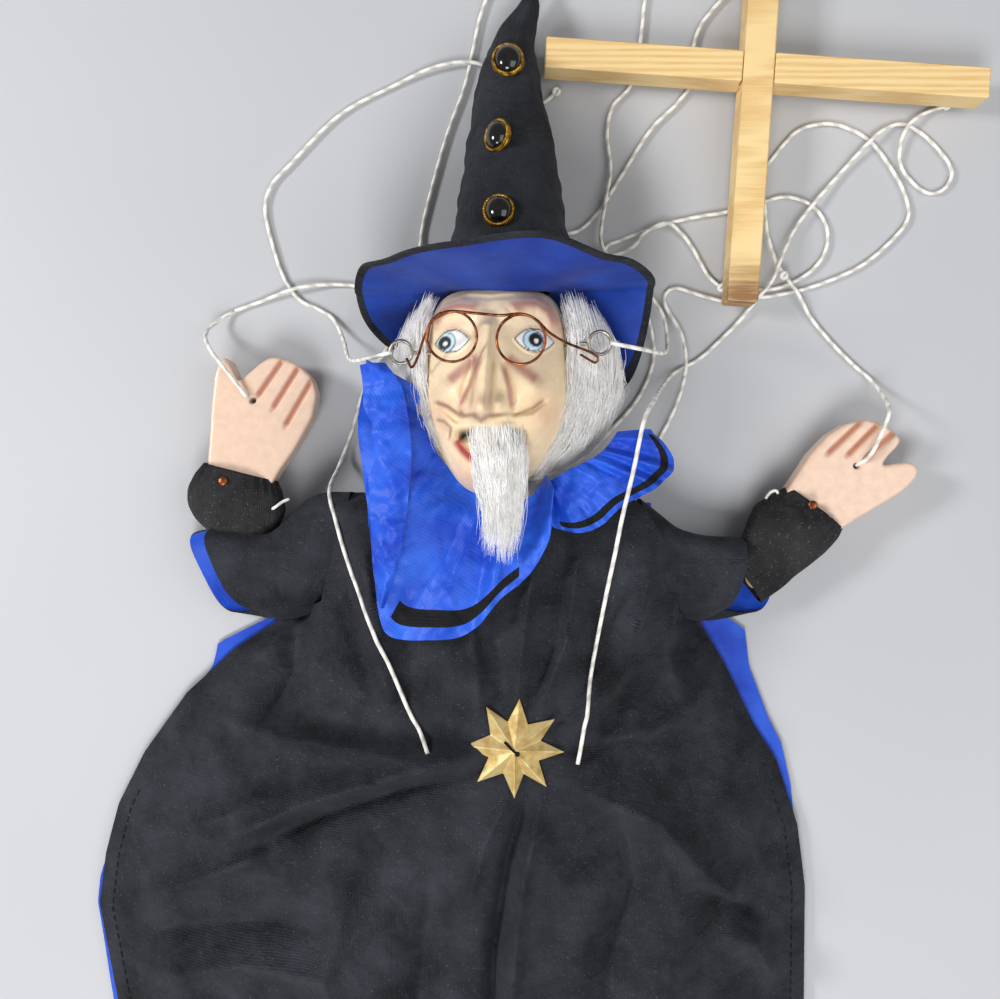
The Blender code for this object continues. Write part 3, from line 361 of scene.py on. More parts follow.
@dataclass(frozen=True)
class TwistedCord(Finish):
    """Two-ply cotton string: off-white with slanting plies along its length, painted darker in the shade
    between them.
    """

    pale: str
    dark: str

    def wire(self, graph: Graph) -> None:
        """Wire the string from plies that wind round the tube's own UV map."""
        along = graph.add("UVMap", uv_map="lay").outputs["UV"]
        plies = graph.add("TexWave", {"Vector": along, "Scale": BAND_PERIOD, "Distortion": 0.5},
            bands_direction="DIAGONAL")
        # The colour darkens where the plies dip, as the bump does: painted shade between the plies.
        colour = graph.add("ValToRGB", {"Fac": plies.outputs["Fac"]},
            stops=[(0.1, self.dark), (0.6, self.pale)]).outputs["Color"]
        surface = graph.add("Bump", {"Height": plies.outputs["Fac"], "Distance": 0.22 * MM, "Strength": 0.8})
        graph.shade(Base_Color=colour, Roughness=0.85, Sheen_Weight=0.2, Normal=surface.outputs["Normal"])


@dataclass(frozen=True)
class Gloss(Finish):
    """Polished moulded resin or waxed leather: dark, smooth and reflective."""

    colour: str
    roughness: float
    grain_mm: float
    depth_mm: float

    def wire(self, graph: Graph) -> None:
        """Wire the gloss with a fine uneven surface."""
        place = graph.add("TexCoord").outputs["Object"]
        grain = graph.add("TexVoronoi", {"Vector": place, "Scale": 1.0 / (self.grain_mm * MM)})
        tone = graph.add("ValToRGB", {"Fac": grain.outputs["Distance"]},
            stops=[(0.0, self.colour), (1.0, "#1d1a19")]).outputs["Color"]
        surface = graph.add("Bump", {"Height": grain.outputs["Distance"], "Distance": self.depth_mm * MM,
            "Strength": 0.4})
        graph.shade(Base_Color=tone, Roughness=self.roughness, Coat_Weight=0.4,
            Normal=surface.outputs["Normal"])


BAR_TURN = math.radians(-4.0)       # how far the control lies askew
CROSS_WAY = (math.cos(BAR_TURN), math.sin(BAR_TURN), 0.0)
MAIN_WAY = (-math.sin(BAR_TURN), math.cos(BAR_TURN), 0.0)


def made(finish: Finish) -> Field:
    """A field that holds a finish's material, built when the finishes are."""
    return field(default_factory=finish.material)


@dataclass
class Finishes:
    """Every finish of the puppet, made once."""

    black: Material = made(Cotton("black_cotton_weave", "#17181d", "#34373e", 0.9, 0.14))
    dusty: Material = made(Cotton("dusty_black_cotton", "#121215", "#3a393a", 0.9, 0.3))
    ribbon: Material = made(Cotton("black_ribbon_braid", "#0d0d0f", "#1a1a1d", 1.4, 0.05))
    blue: Material = made(Satin("blue_twill_lining", "#0d38b0", "#265cd6", 0.8, 0.5))
    brim: Material = made(Satin("blue_brim_twill", "#0a2f90", "#1d4cb2", 0.8, 0.55))
    collar: Material = made(Satin("blue_nylon_ruffle", "#0f3cb8", "#2b66de", 0.9, 0.46))
    face: Material = made(Paint("painted_cast_face", 0.42, 1.4, 0.15))
    hands: Material = made(Paint("painted_carved_hands", 0.36, 2.2, 0.2))
    main_bar: Material = made(Timber("planed_pine_main_bar", "#edcf95", "#d6ac6b", MAIN_WAY,
        stain_at=(0.1035, 0.2085, 0.017)))
    cross_bar: Material = made(Timber("planed_pine_cross_bar", "#edcf95", "#d6ac6b", CROSS_WAY))
    lime: Material = made(Timber("turned_lime_wood", "#d8b787", "#b08a57", (0.0, 1.0, 0.0)))
    copper: Material = made(Metal("drawn_copper_wire", "#a8623c", "#5a3322", 0.3))
    steel: Material = made(Metal("bright_steel_wire", "#b9b3a8", "#7d766b", 0.28))
    gilt: Material = made(Metal("gilt_rope_bezel", "#c79a3c", "#6d5120", 0.3))
    star: Material = made(Metal("stamped_gilt_star", "#dcc58c", "#bd9f60", 0.5, 2.5, 0.72))
    rust: Material = made(Metal("rusty_brad", "#8b5a3c", "#5a2f1c", 0.6, 0.8, 0.7))
    cabochon: Material = made(Gloss("polished_black_cabochon", "#08080a", 0.12, 3.0, 0.02))
    leather: Material = made(Gloss("waxed_black_leather", "#14110f", 0.38, 1.1, 0.12))
    fur: Material = made(Fur("grey_goat_hair", "#eceae6", "#fefdfb"))
    cord: Material = made(TwistedCord("twisted_cotton_cord", "#f3f1eb", "#d3cfc4"))


def put(name: str, shape: bmesh.types.BMesh, finish: Material | Sequence[Material],
        smooth: bool = True) -> bpy.types.Object:
    """Make an object of a bmesh, at the origin.

    Args:
        name: The piece's name.
        shape: The bmesh, which is freed.
        finish: One material, or several by slot.
        smooth: Whether its faces are shaded smooth.

    Returns:
        The new object.
    """
    mesh = bpy.data.meshes.new(name)
    shape.to_mesh(mesh)
    shape.free()
    if smooth:
        mesh.shade_smooth()
    thing = bpy.data.objects.new(name, mesh)
    bpy.context.scene.collection.objects.link(thing)
    for material in (finish if isinstance(finish, (list, tuple)) else [finish]):
        mesh.materials.append(material)
    LOG.info("piece %s: %d faces", name, len(mesh.polygons))
    return thing


def thicken(thing: bpy.types.Object, wall: float, offset: float = -1.0, inner: int = 0) -> bpy.types.Object:
    """Give an open surface a wall, whose inner faces take another material slot."""
    shell = thing.modifiers.new("wall", "SOLIDIFY")
    shell.thickness = wall
    shell.offset = offset
    shell.material_offset = inner
    shell.material_offset_rim = 0
    return thing


def fix(piece: bpy.types.Object, body: Body | str, node: str) -> None:
    """Let a piece ride on a body in place of a CAD node."""
    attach(piece, body)
    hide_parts(node)


def angles(count: int) -> list[float]:
    """Even angles of a full turn."""
    return [2 * math.pi * k / count for k in range(count)]


def eased(wave: float, power: float) -> float:
    """A sine or cosine made fuller or sharper, with its sign kept."""
    return math.copysign(abs(wave) ** power, wave)


def layered(base: str, count: int, layers: Sequence[tuple[np.ndarray, str]]) -> np.ndarray:
    """Linear colours of points under coats of paint, each a strength at every point and a colour code."""
    shade = np.tile(np.array(linear(base)), (count, 1))
    for strength, code in layers:
        shade += np.clip(strength, 0.0, 1.0)[:, None] * (np.array(linear(code)) - shade)
    return shade


def paint(piece: bpy.types.Object, shade: np.ndarray) -> None:
    """Put colours on the points of a piece, in the attribute that painted finishes read."""
    coat = piece.data.color_attributes.new("paint", "FLOAT_COLOR", "POINT")
    coat.data.foreach_set("color", shade.astype(np.float32).ravel())


def crisp_rim(shape: bmesh.types.BMesh) -> None:
    """Shade the open edges of a sheet sharp."""
    for edge in shape.edges:
        if edge.is_boundary:
            edge.smooth = False


def wall_round(shape: bmesh.types.BMesh, rings: Sequence[Sequence[bmesh.types.BMVert]]) -> None:
    """Join rings of vertices by quads and point the faces outwards."""
    for low, high in zip(rings, rings[1:]):
        for k in range(len(low)):
            nxt = (k + 1) % len(low)
            shape.faces.new((low[k], low[nxt], high[nxt], high[k]))
    bmesh.ops.recalc_face_normals(shape, faces=shape.faces[:])


def smooth_route(knots: Sequence[Point], count: int) -> list[Vector]:
    """Points at even steps along a smooth curve through knots.

    Args:
        knots: The route's own points.
        count: How many points to return.

    Returns:
        Points from the first knot to the last.
    """
    spots = [Vector(knot) for knot in knots]
    ends = [2 * spots[0] - spots[1]] + spots + [2 * spots[-1] - spots[-2]]
    fine: list[Vector] = []
    steps = 12
    for before, start, end, after in zip(ends, ends[1:], ends[2:], ends[3:]):
        for step in range(steps):
            t = step / steps
            bend = 2 * before - 5 * start + 4 * end - after
            swing = 3 * start - before - 3 * end + after
            fine.append(0.5 * (2 * start + (end - before) * t + bend * t * t + swing * t ** 3))
    fine.append(spots[-1])
    reach = np.concatenate([[0.0], np.cumsum([(b - a).length for a, b in zip(fine, fine[1:])])])
    goals = np.linspace(0.0, reach[-1], count)
    table = np.array([tuple(point) for point in fine])
    columns = [np.interp(goals, reach, table[:, axis]) for axis in range(3)]
    return [Vector(row) for row in zip(*columns)]


def tube(shape: bmesh.types.BMesh, path: Sequence[Vector], radius: float | Callable[[float], float],
         sides: int = 8, twist_mm: float = 4.0, closed: bool = False) -> None:
    """Sweep a round section along a path into a bmesh, with a UV map named lay that runs along it.

    Args:
        shape: The bmesh that takes the tube.
        path: Centre points.
        radius: One radius, or a function of the share of the way along.
        sides: Sides of the section.
        twist_mm: Length of cord per turn of its plies.
        closed: Whether the path joins its own start.
    """
    layer = shape.loops.layers.uv.get("lay") or shape.loops.layers.uv.new("lay")
    up = Vector((0.0, 0.0, 1.0))
    rings = []
    reach = 0.0
    lengths = []
    count = len(path)
    for k, centre in enumerate(path):
        after = path[(k + 1) % count] if closed else path[min(k + 1, count - 1)]
        before = path[k - 1] if closed else path[max(k - 1, 0)]
        way = (after - before).normalized()
        across = way.cross(up)
        if across.length < 1e-4:
            across = way.cross(Vector((1.0, 0.0, 0.0)))
        across.normalize()
        up = across.cross(way).normalized()
        size = radius(k / (count - 1)) if callable(radius) else radius
        rings.append([shape.verts.new(centre + (across * math.cos(a) + up * math.sin(a)) * size)
            for a in angles(sides)])
        if k:
            reach += (centre - path[k - 1]).length
        lengths.append(reach / (twist_mm * MM))
    pairs = list(zip(range(count - 1), range(1, count)))
    if closed:
        pairs.append((count - 1, 0))
    for low, high in pairs:
        for k in range(sides):
            nxt = (k + 1) % sides
            face = shape.faces.new((rings[low][k], rings[low][nxt], rings[high][nxt], rings[high][k]))
            face.smooth = True
            marks = ((lengths[low], k / sides), (lengths[low], (k + 1) / sides),
                     (lengths[high], (k + 1) / sides), (lengths[high], k / sides))
            for loop, mark in zip(face.loops, marks):
                loop[layer].uv = mark
    if not closed:
        shape.faces.new(list(reversed(rings[0])))
        shape.faces.new(rings[-1])
    bmesh.ops.recalc_face_normals(shape, faces=shape.faces[:])


@dataclass
class Studio:
    """Floor, lights and the camera that looks straight down."""

    eye: Point = (-0.0071, 0.1175, 0.475)
    lens_mm: float = 36.1
    sensor_mm: float = 36.0
    floor_size: float = 6.0
    floor_drop: float = 0.0004
    lamp_aim: Point = (0.0, 0.1, 0.0)
    lamps: tuple[tuple[str, Point, float, float], ...] = (      # name, place, size and power
        ("key", (-1.1, 0.4, 0.85), 0.3, 12.0),
        ("fill", (1.0, 0.1, 1.2), 1.2, 9.5),
        ("front", (-0.2, -0.75, 1.1), 0.6, 13.4))
    room_colour: str = "#f2f4f8"
    room_strength: float = 0.24

    def build(self) -> None:
        """Lay the floor, hang the lights and set the camera."""
        scene = bpy.context.scene
        scene.view_settings.view_transform = "Standard"
        shape = bmesh.new()
        bmesh.ops.create_grid(shape, x_segments=2, y_segments=2, size=self.floor_size)
        bmesh.ops.translate(shape, vec=(0.0, 0.0, -self.floor_drop), verts=shape.verts)
        graph = Graph("pale_floor")
        place = graph.add("TexCoord").outputs["Object"]
        cloud = graph.add("TexNoise", {"Vector": place, "Scale": 3.0})
        tone = graph.add("ValToRGB", {"Fac": cloud.outputs["Fac"]},
            stops=[(0.3, "#b6b7ba"), (0.7, "#bdbec1")])
        graph.shade(Base_Color=tone.outputs["Color"], Roughness=0.8)
        put("floor", shape, graph.material, False)
        for name, spot, size, power in self.lamps:
            lamp = bpy.data.lights.new(name, "AREA")
            lamp.size = size
            lamp.energy = power
            thing = bpy.data.objects.new(name, lamp)
            thing.location = spot
            way = Vector(self.lamp_aim) - Vector(spot)
            thing.rotation_euler = way.to_track_quat("-Z", "Y").to_euler()
            scene.collection.objects.link(thing)
        world = bpy.data.worlds.new("soft_room")
        world.use_nodes = True
        air = world.node_tree.nodes["Background"].inputs
        air["Color"].default_value = linear(self.room_colour)
        air["Strength"].default_value = self.room_strength
        scene.world = world
        view = bpy.data.cameras.new("view")
        view.lens = self.lens_mm
        view.sensor_width = self.sensor_mm
        eye = bpy.data.objects.new("view", view)
        eye.location = self.eye
        scene.collection.objects.link(eye)
        scene.camera = eye


@dataclass(frozen=True)
class Fold:
    """A ridge or, with a negative rise, a groove of cloth along a line; lengths in millimetres."""

    line: tuple[Spot, ...]
    rise: float
    half_width: float

    def reach(self, x: np.ndarray, y: np.ndarray) -> tuple[np.ndarray, np.ndarray]:
        """Find the way to the line from points of the cloth, in metres.

        Args:
            x: X values.
            y: Y values.

        Returns:
            Distances in millimetres, and strengths that fade towards the line's ends.
        """
        near = np.full(x.shape, 1e9)
        share = np.zeros(x.shape)
        spans = list(zip(self.line, self.line[1:]))
        for k, ((ax, ay), (bx, by)) in enumerate(spans):
            run = (bx - ax) ** 2 + (by - ay) ** 2
            t = np.clip(((x / MM - ax) * (bx - ax) + (y / MM - ay) * (by - ay)) / run, 0.0, 1.0)
            gap = np.hypot(x / MM - ax - t * (bx - ax), y / MM - ay - t * (by - ay))
            share = np.where(gap < near, (k + t) / len(spans), share)
            near = np.minimum(near, gap)
        return near, np.clip(4.0 * np.minimum(share, 1.0 - share) + 0.25, 0.0, 1.0)

    def height(self, x: np.ndarray, y: np.ndarray) -> np.ndarray:
        """Height in metres that the fold adds at points of the cloth, in metres."""
        near, fade = self.reach(x, y)
        broad = np.exp(-(near / self.half_width) ** 2)
        sharp = np.exp(-(near / (0.36 * self.half_width)) ** 1.2)
        return self.rise * MM * fade * (0.55 * broad + 0.45 * sharp)


def ripple(x: np.ndarray, y: np.ndarray, size_mm: float, seed: float) -> np.ndarray:
    """Smooth noise from -1 to 1 at points of a surface."""
    flat = [noise.noise((a / (size_mm * MM), b / (size_mm * MM), seed)) for a, b in zip(x.ravel(), y.ravel())]
    return np.array(flat).reshape(x.shape)


@dataclass(frozen=True)
class RobeForm:
    """The height of the robe's front over the table, with every fold of it."""

    axis_x: float = -0.008
    waist_y: float = -0.002
    shoulder_y: float = 0.114
    hem_y: float = -0.215
    crown_waist: float = 0.0455
    crown_hem: float = 0.031
    edge_z: float = 0.0032
    cloth: float = 0.0011
    chest_start: float = 0.050      # where the rounded skirt begins to turn into the square chest
    chest_run: float = 0.016
    chest_half: float = 0.090
    skirt_power: float = 2.4        # roundness of the section across the skirt and across the chest
    chest_power: float = 6.0
    block_low: float = 0.016        # where the cloth lies tight on the torso block
    block_half: float = 0.052
    block_groove: float = 0.0007
    fold_gain: float = 2.8
    slack: tuple[tuple[float, float, float], ...] = ((34.0, 3.1, 0.0024), (12.0, 7.7, 0.0011))
    seat_rise: float = 0.012        # folds fade where the cloth comes down to the table
    # How far up the robe and how far across, in millimetres, at places of its edges and its slit
    left: tuple = ((116, -79), (72, -85), (60, -112), (48, -131), (27, -154),
                   (-1, -174), (-25, -186), (-48, -192), (-72, -195), (-119, -186),
                   (-215, -165))
    right: tuple = ((116, 46), (110, 54), (98, 64), (84, 71), (66, 73),
        (60, 86.5), (41, 98), (12, 112), (-4.4, 122.5), (-35, 132.5),
        (-64, 136), (-119, 135.5), (-215, 124))
    slit: tuple = ((0, -1), (-12, 2), (-40, -6), (-80, -12), (-215, -14))
    folds: tuple[Fold, ...] = (
        Fold(((-141, 21), (-91, 13), (-38, 7), (-18, 11)), 3.2, 6.0),
        Fold(((-132, -34), (-93, -13), (-55, 0), (-21, 9)), 4.6, 6.5),
        Fold(((-118, -38), (-86, -22), (-50, -9), (-20, -1)), -3.6, 7.0),
        Fold(((-20, 16), (-40, 17), (-66, 15), (-90, 20)), -2.2, 5.0),
        Fold(((-16, 24), (-17, 46), (-22, 78)), 2.4, 4.0),
        Fold(((-5, 32), (-14, 58), (-18, 82)), -2.6, 3.6),
        Fold(((0, 34), (3, 62), (8, 96)), 3.4, 4.2),
        Fold(((6, 30), (14, 54), (20, 94)), -2.8, 4.0),
        Fold(((9, 28), (21, 58), (26, 94)), 3.2, 4.6),
        Fold(((18, 22), (34, 48), (42, 92)), -2.4, 5.0),
        Fold(((24, 19), (46, 44), (60, 92)), 3.0, 6.0),
        Fold(((28, 12), (58, 16), (88, 32)), 2.4, 6.0),
        Fold(((20, 9), (46, 12), (70, 12)), -2.2, 4.5),
        Fold(((34, 8), (50, 40), (58, 70)), -2.0, 5.0),
        Fold(((4, -12), (-4, -40), (-10, -80), (-13, -150)), -4.2, 3.4),
        Fold(((10, -10), (4, -40), (-1, -80), (-4, -140)), 3.6, 5.0),
        Fold(((-4, -10), (-14, -30), (-22, -60)), 2.2, 6.0),
        Fold(((26, -6), (62, -22), (86, -50), (104, -66)), 3.8, 7.5),
        Fold(((44, -20), (50, -50), (40, -84), (44, -130)), -3.6, 9.0),
        Fold(((62, -34), (70, -64), (62, -110), (70, -170)), 3.4, 11.0),
        Fold(((84, -58), (100, -66), (112, -74)), -3.0, 5.0),
        Fold(((92, -76), (108, -82), (120, -104)), 3.2, 6.0),
        Fold(((-172, -64), (-130, -46), (-108, -36)), 3.0, 6.0),
        Fold(((-172, -82), (-124, -72), (-86, -70)), -3.2, 7.0),
        Fold(((-168, -98), (-120, -86), (-80, -88)), 3.4, 8.0),
        Fold(((-150, -30), (-128, -22), (-108, -10)), 2.6, 6.0),
        Fold(((-70, -40), (-82, -90), (-78, -160)), 3.6, 13.0),
        Fold(((-36, -40), (-44, -100), (-40, -190)), -3.2, 11.0),
        Fold(((-104, 62), (-100, 40), (-112, 18)), -3.0, 6.0),
        Fold(((-86, 86), (-84, 60), (-90, 40)), 2.6, 6.0),
        Fold(((-66, 100), (-60, 62), (-52, 24)), 2.6, 6.5),
        Fold(((-74, 84), (-70, 54), (-60, 26)), -2.4, 6.0),
        Fold(((-44, 60), (-48, 38), (-56, 22)), -1.8, 5.0),
        Fold(((72, 84), (66, 52), (74, 30)), 2.4, 6.0),
        Fold(((10, -120), (26, -160), (24, -212)), 3.2, 10.0),
        Fold(((100, -110), (96, -160), (104, -212)), 3.0, 9.0),
        Fold(((-120, -120), (-128, -165), (-120, -212)), 3.4, 11.0),
    )

    def edge(self, table: tuple, y: np.ndarray) -> np.ndarray:
        """Place of an edge at heights up the robe, in metres."""
        rows = sorted(table)
        return np.interp(y / MM, [row[0] for row in rows], [row[1] for row in rows]) * MM

    def at(self, x: float, y: float) -> float:
        """Height of the cloth's upper face at one place."""
        return float(self.height(np.array([x]), np.array([y]))[0])

    def height(self, x: np.ndarray, y: np.ndarray) -> np.ndarray:
        """Height of the cloth's upper face at points of the table, in metres."""
        x = np.asarray(x, dtype=float)
        y = np.asarray(y, dtype=float)
        chest = np.clip((y - self.chest_start) / self.chest_run, 0.0, 1.0)
        to_edge = np.where(x < self.axis_x, self.axis_x - self.edge(self.left, y),
                           self.edge(self.right, y) - self.axis_x)
        half = to_edge * (1 - chest) + self.chest_half * chest
        power = self.skirt_power * (1 - chest) + self.chest_power * chest
        down = np.clip((self.waist_y - y) / (self.waist_y - self.hem_y), 0.0, 1.0)
        crown = self.crown_waist + (self.crown_hem - self.crown_waist) * down
        share = np.clip(np.abs((x - self.axis_x) / half), 0.0, 1.0)
        base = (crown - self.edge_z) * (1 - share ** power)
        folds = sum(fold.height(x, y) for fold in self.folds)
        on_block = (y > self.block_low) & (np.abs(x - self.axis_x) < self.block_half)
        folds = np.where(on_block, np.maximum(folds, -self.block_groove), folds)
        loose = sum(ripple(x, y, size, seed) * rise for size, seed, rise in self.slack)
        seat = np.clip(base / self.seat_rise, 0.0, 1.0)
        return self.edge_z + base + (self.fold_gain * folds + loose) * seat + self.cloth


def cloth_grid(shape: bmesh.types.BMesh, x: np.ndarray, y: np.ndarray, z: np.ndarray, slot: int = 0) -> None:
    """Make a sheet of quads over arrays of points, with sharp open edges.

    Args:
        shape: The bmesh that takes the sheet.
        x: Rows of X values.
        y: Rows of Y values.
        z: Rows of Z values.
        slot: Material slot of the faces.
    """
    rows = [[shape.verts.new(spot) for spot in zip(*row)] for row in zip(x, y, z)]
    for low, high in zip(rows, rows[1:]):
        for k in range(len(low) - 1):
            face = shape.faces.new((low[k], low[k + 1], high[k + 1], high[k]))
            face.material_index = slot
            face.smooth = True
    crisp_rim(shape)


@dataclass
class Robe:
    """Robe front, a bodice over two skirts, with its lined back, hem stitches and star brooch."""

    finishes: Finishes
    form: RobeForm = field(default_factory=RobeForm)
    wall: float = 0.0009
    mesh_step: float = 0.0015
    back_top: float = 0.0019
    star_centre: Spot = (-0.001, 0.0115)
    star_tip: float = 0.0215
    star_notch: float = 0.0118
    star_rise: float = 0.0048
    star_turns: tuple[float, ...] = (84.0, 36.0, -4.0, -50.0, -90.0, -138.0, 177.0, 124.0)
    star_gap: float = 0.0012
    notch_drop: float = 0.0006
    knee_y: float = -0.0996         # the skirts are cut across at the knees
    thigh_y: float = -0.075         # a height up the skirt, at the thigh
    shin_y: float = -0.16           # a height up the skirt, at the shin
    blend_z: float = 0.03
    skirt_flat: Spot = (0.19, 0.16)
    skirt_length: float = 0.22
    skirt_cover: float = 0.2        # length of an even strip of the same area
    shoulder_reach: float = 0.0068
    shoulder_half: Spot = (0.026, 0.018)     # where the shoulders start, and their run
    shoulder_turn: Spot = (0.1105, 0.0104)   # where the cloth turns down, and its run
    back_y: float = 0.116
    back_ripple: tuple[float, float, float] = (22.0, 1.3, 0.0004)
    stitch_step: float = 0.0042
    stitch_share: float = 0.6
    stitch_inset: float = 0.0075
    stitch_radius: float = 0.00035
    stitch_ends: Spot = (0.006, 0.016)       # what is left bare at the hem and at the waist

    def panel(self, name: str, top: float, bottom: float, left: Callable, right: Callable,
              reach: float = 0.0) -> bpy.types.Object:
        """Make one panel of the front between two heights and two edges.

        Args:
            name: The piece's name.
            top: Height of its upper edge up the robe.
            bottom: Height of its lower edge.
            left: Left edge at heights up the robe.
            right: Right edge at heights up the robe.
            reach: How far its upper edge rises at the shoulders.

        Returns:
            The panel, lined in blue.
        """
        rows = int((top - bottom) / self.mesh_step) + 1
        columns = int(float(np.max(right(np.array([bottom, top])) - left(np.array([bottom, top]))))
                      / self.mesh_step) + 1
        v = np.linspace(bottom, top, rows)
        u = np.linspace(0.0, 1.0, columns)
        y = np.repeat(v[:, None], columns, axis=1)
        x = left(v)[:, None] + (right(v) - left(v))[:, None] * u[None, :]
        start, run = self.shoulder_half
        outward = np.clip((np.abs(x - self.form.axis_x) - start) / run, 0.0, 1.0)
        y = y + reach * outward * np.clip((y - bottom) / (top - bottom), 0.0, 1.0) ** 4
        shape = bmesh.new()
        z = self.form.height(x, y)
        start, run = self.shoulder_turn
        turn = np.clip((y - start) / run, 0.0, 0.98)
        z = self.form.edge_z + (z - self.form.edge_z) * np.sqrt(1 - turn ** 2)
        cloth_grid(shape, x, y, z)
        piece = put(name, shape, [self.finishes.black, self.finishes.blue])
        return thicken(piece, self.wall, -1.0, 1)

    def front(self) -> None:
        """Make the bodice and the two skirt panels."""
        form = self.form
        left, right, slit = (partial(form.edge, table) for table in (form.left, form.right, form.slit))
        bodice = self.panel("robe_bodice_cloth", form.shoulder_y, form.waist_y, left, right,
            self.shoulder_reach)
        fix(bodice, Body.TORSO, "robe_bodice")
        for side, low, high, wide in ((Side.LEFT, left, slit, self.skirt_flat[0]),
                                      (Side.RIGHT, slit, right, self.skirt_flat[1])):
            word = side.word
            thigh, shin = Body(f"leg_{word}"), Body(f"lower_leg_{word}")
            for ending, top, bottom, near, far, end in (
                    ("", form.waist_y, self.knee_y, Body.TORSO, thigh, self.thigh_y),
                    ("_hem", self.knee_y, form.hem_y, thigh, shin, self.shin_y)):
                skirt = self.panel(f"robe_skirt_{word}{ending}", top, bottom, low, high)
                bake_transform(skirt)
                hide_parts(f"skirt_front_{word}")
                outer = low if side is Side.LEFT else high
                seam = self.stitches(f"hem_stitches_{word}{ending}", side, outer, top, bottom)
                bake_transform(seam)

    def stitches(self, name: str, side: Side, edge: Callable, top: float, bottom: float) -> bpy.types.Object:
        """Sew the short stitches along a panel's side hem that lie between two heights.

        Args:
            name: The piece's name.
            side: Side of the puppet.
            edge: The panel's outer edge at heights up the robe.
            top: Upper height.
            bottom: Lower height.

        Returns:
            The row of stitches.
        """
        shape = bmesh.new()
        inset = self.stitch_inset * -side.value
        y = self.form.hem_y + self.stitch_ends[0]
        while y < self.form.waist_y - self.stitch_ends[1]:
            if bottom <= y < top:
                ends = np.array([y, y + self.stitch_step * self.stitch_share])
                x = edge(ends) + inset
                z = self.form.height(x, ends) + 0.0002
                tube(shape, [Vector(p) for p in zip(x, ends, z)], self.stitch_radius, 5)
            y += self.stitch_step
        return put(name, shape, self.finishes.ribbon)

    def back(self) -> None:
        """Make the back of the robe, which lies on the table with its lining up."""
        form = self.form
        left = ((116, -80), (70, -88), (62, -116), (50, -140), (39, -142.5),
                (30, -149.5), (-1, -173), (-25, -185), (-48, -191.8), (-60, -195.5),
                (-72, -196.8), (-119, -189.2), (-215, -167.5))
        right = ((116, 64), (68, 72), (63, 99), (56, 108.5), (38.6, 110.5),
            (14.6, 119.5), (2.6, 125.5), (-17, 130), (-35, 131.8), (-64, 134.5),
            (-119, 134), (-215, 122.5))
        v = np.linspace(form.hem_y, self.back_y, 150)
        u = np.linspace(0.0, 1.0, 110)
        low = form.edge(left, v)
        high = form.edge(right, v)
        x = low[:, None] + (high - low)[:, None] * u[None, :]
        y = np.repeat(v[:, None], len(u), axis=1)
        size, seed, rise = self.back_ripple
        z = self.back_top + rise * ripple(x, y, size, seed)
        shape = bmesh.new()
        cloth_grid(shape, x, y, z, 1)
        piece = put("robe_back_cloth", shape, [self.finishes.black, self.finishes.blue])
        thicken(piece, self.wall, -1.0, -1)
        fix(piece, Body.TORSO, "robe_back")

    def star(self) -> None:
        """Stamp the eight-pointed brooch, ridged to every tip, and sew it on."""
        shape = bmesh.new()
        cx, cy = self.star_centre
        base = self.form.at(cx, cy) + self.star_gap
        hub = shape.verts.new((cx, cy, base + self.star_rise))
        order = sorted(self.star_turns)
        rim = []
        for k, turn in enumerate(order):
            following = order[(k + 1) % len(order)] + (360.0 if k == len(order) - 1 else 0.0)
            notch = (turn + following) / 2
            for angle, reach, lift in ((turn, self.star_tip, 0.0),
                    (notch, self.star_notch, -self.notch_drop)):
                way = Vector((math.cos(math.radians(angle)), math.sin(math.radians(angle)), 0.0))
                rim.append(shape.verts.new(Vector((cx, cy, base + lift)) + way * reach))
        for a, b in zip(rim, rim[1:] + rim[:1]):
            shape.faces.new((hub, a, b))
        for edge in shape.edges:
            edge.smooth = False
        ridges = [edge for edge in shape.edges if hub in edge.verts]
        bmesh.ops.subdivide_edges(shape, edges=ridges, cuts=1)
        star = thicken(put("star_brooch_stamping", shape, self.finishes.star, False), 0.0009)
        bevel = star.modifiers.new("edge", "BEVEL")
        bevel.width = 0.00025
        bevel.segments = 2
        fix(star, Body.TORSO, "star_brooch")
        thread = bmesh.new()
        high = base + self.star_rise
        path = smooth_route([(cx - 0.0042, cy + 0.0036, high - 0.0011),
            (cx - 0.0016, cy + 0.0012, high + 0.0002), (cx + 0.0012, cy - 0.0014, high - 0.0004)], 10)
        tube(thread, path, 0.00055, 6)
        bmesh.ops.create_uvsphere(thread, u_segments=10, v_segments=6, radius=0.0011,
                                  matrix=Matrix.Translation(path[-1]))
        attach(put("star_thread", thread, self.finishes.ribbon), Body.TORSO)

    def build(self) -> None:
        """Make every piece of the robe's body."""
        self.back()
        self.front()
        self.star()


@dataclass(frozen=True)
class StringLay:
    """One string: its CAD node, the places that it passes and the bodies that it runs between.

    The places start at the puppet's end, in millimetres, and those without a height lie on the floor. A
    stage is the share of the length where it starts and ends, the body it leaves and the one it goes to.
    """

    node: str
    knots: tuple[tuple[float, ...], ...]
    stages: tuple[tuple[float, float, Body, Body | None], ...]


def arm_stages(side: Side) -> tuple:
    """Stages of a hand's string, which passes both joints of the arm on its way to the control."""
    lower = Body(f"lower_arm_{side.word}")
    upper = Body(f"arm_{side.word}")
    return ((0.0, 0.2, lower, upper), (0.2, 0.4, upper, Body.TORSO), (0.4, 0.7, Body.TORSO, None),
            (0.7, 1.0, Body.TORSO, Body.CONTROL))


HEAD_STAGES = ((0.0, 0.22, Body.HEAD, Body.TORSO), (0.22, 1.0, Body.TORSO, Body.CONTROL))
ROBE_STAGES = ((0.0, 0.36, Body.TORSO, None), (0.36, 1.0, Body.TORSO, Body.CONTROL))
BACK_STAGES = ((0.0, 0.2, Body.TORSO, None), (0.2, 1.0, Body.TORSO, Body.CONTROL))
ON_FLOOR = 1.3      # height of a string that lies on the floor, in millimetres
ON_ROBE = -1.0      # stands for the height of the robe at that place

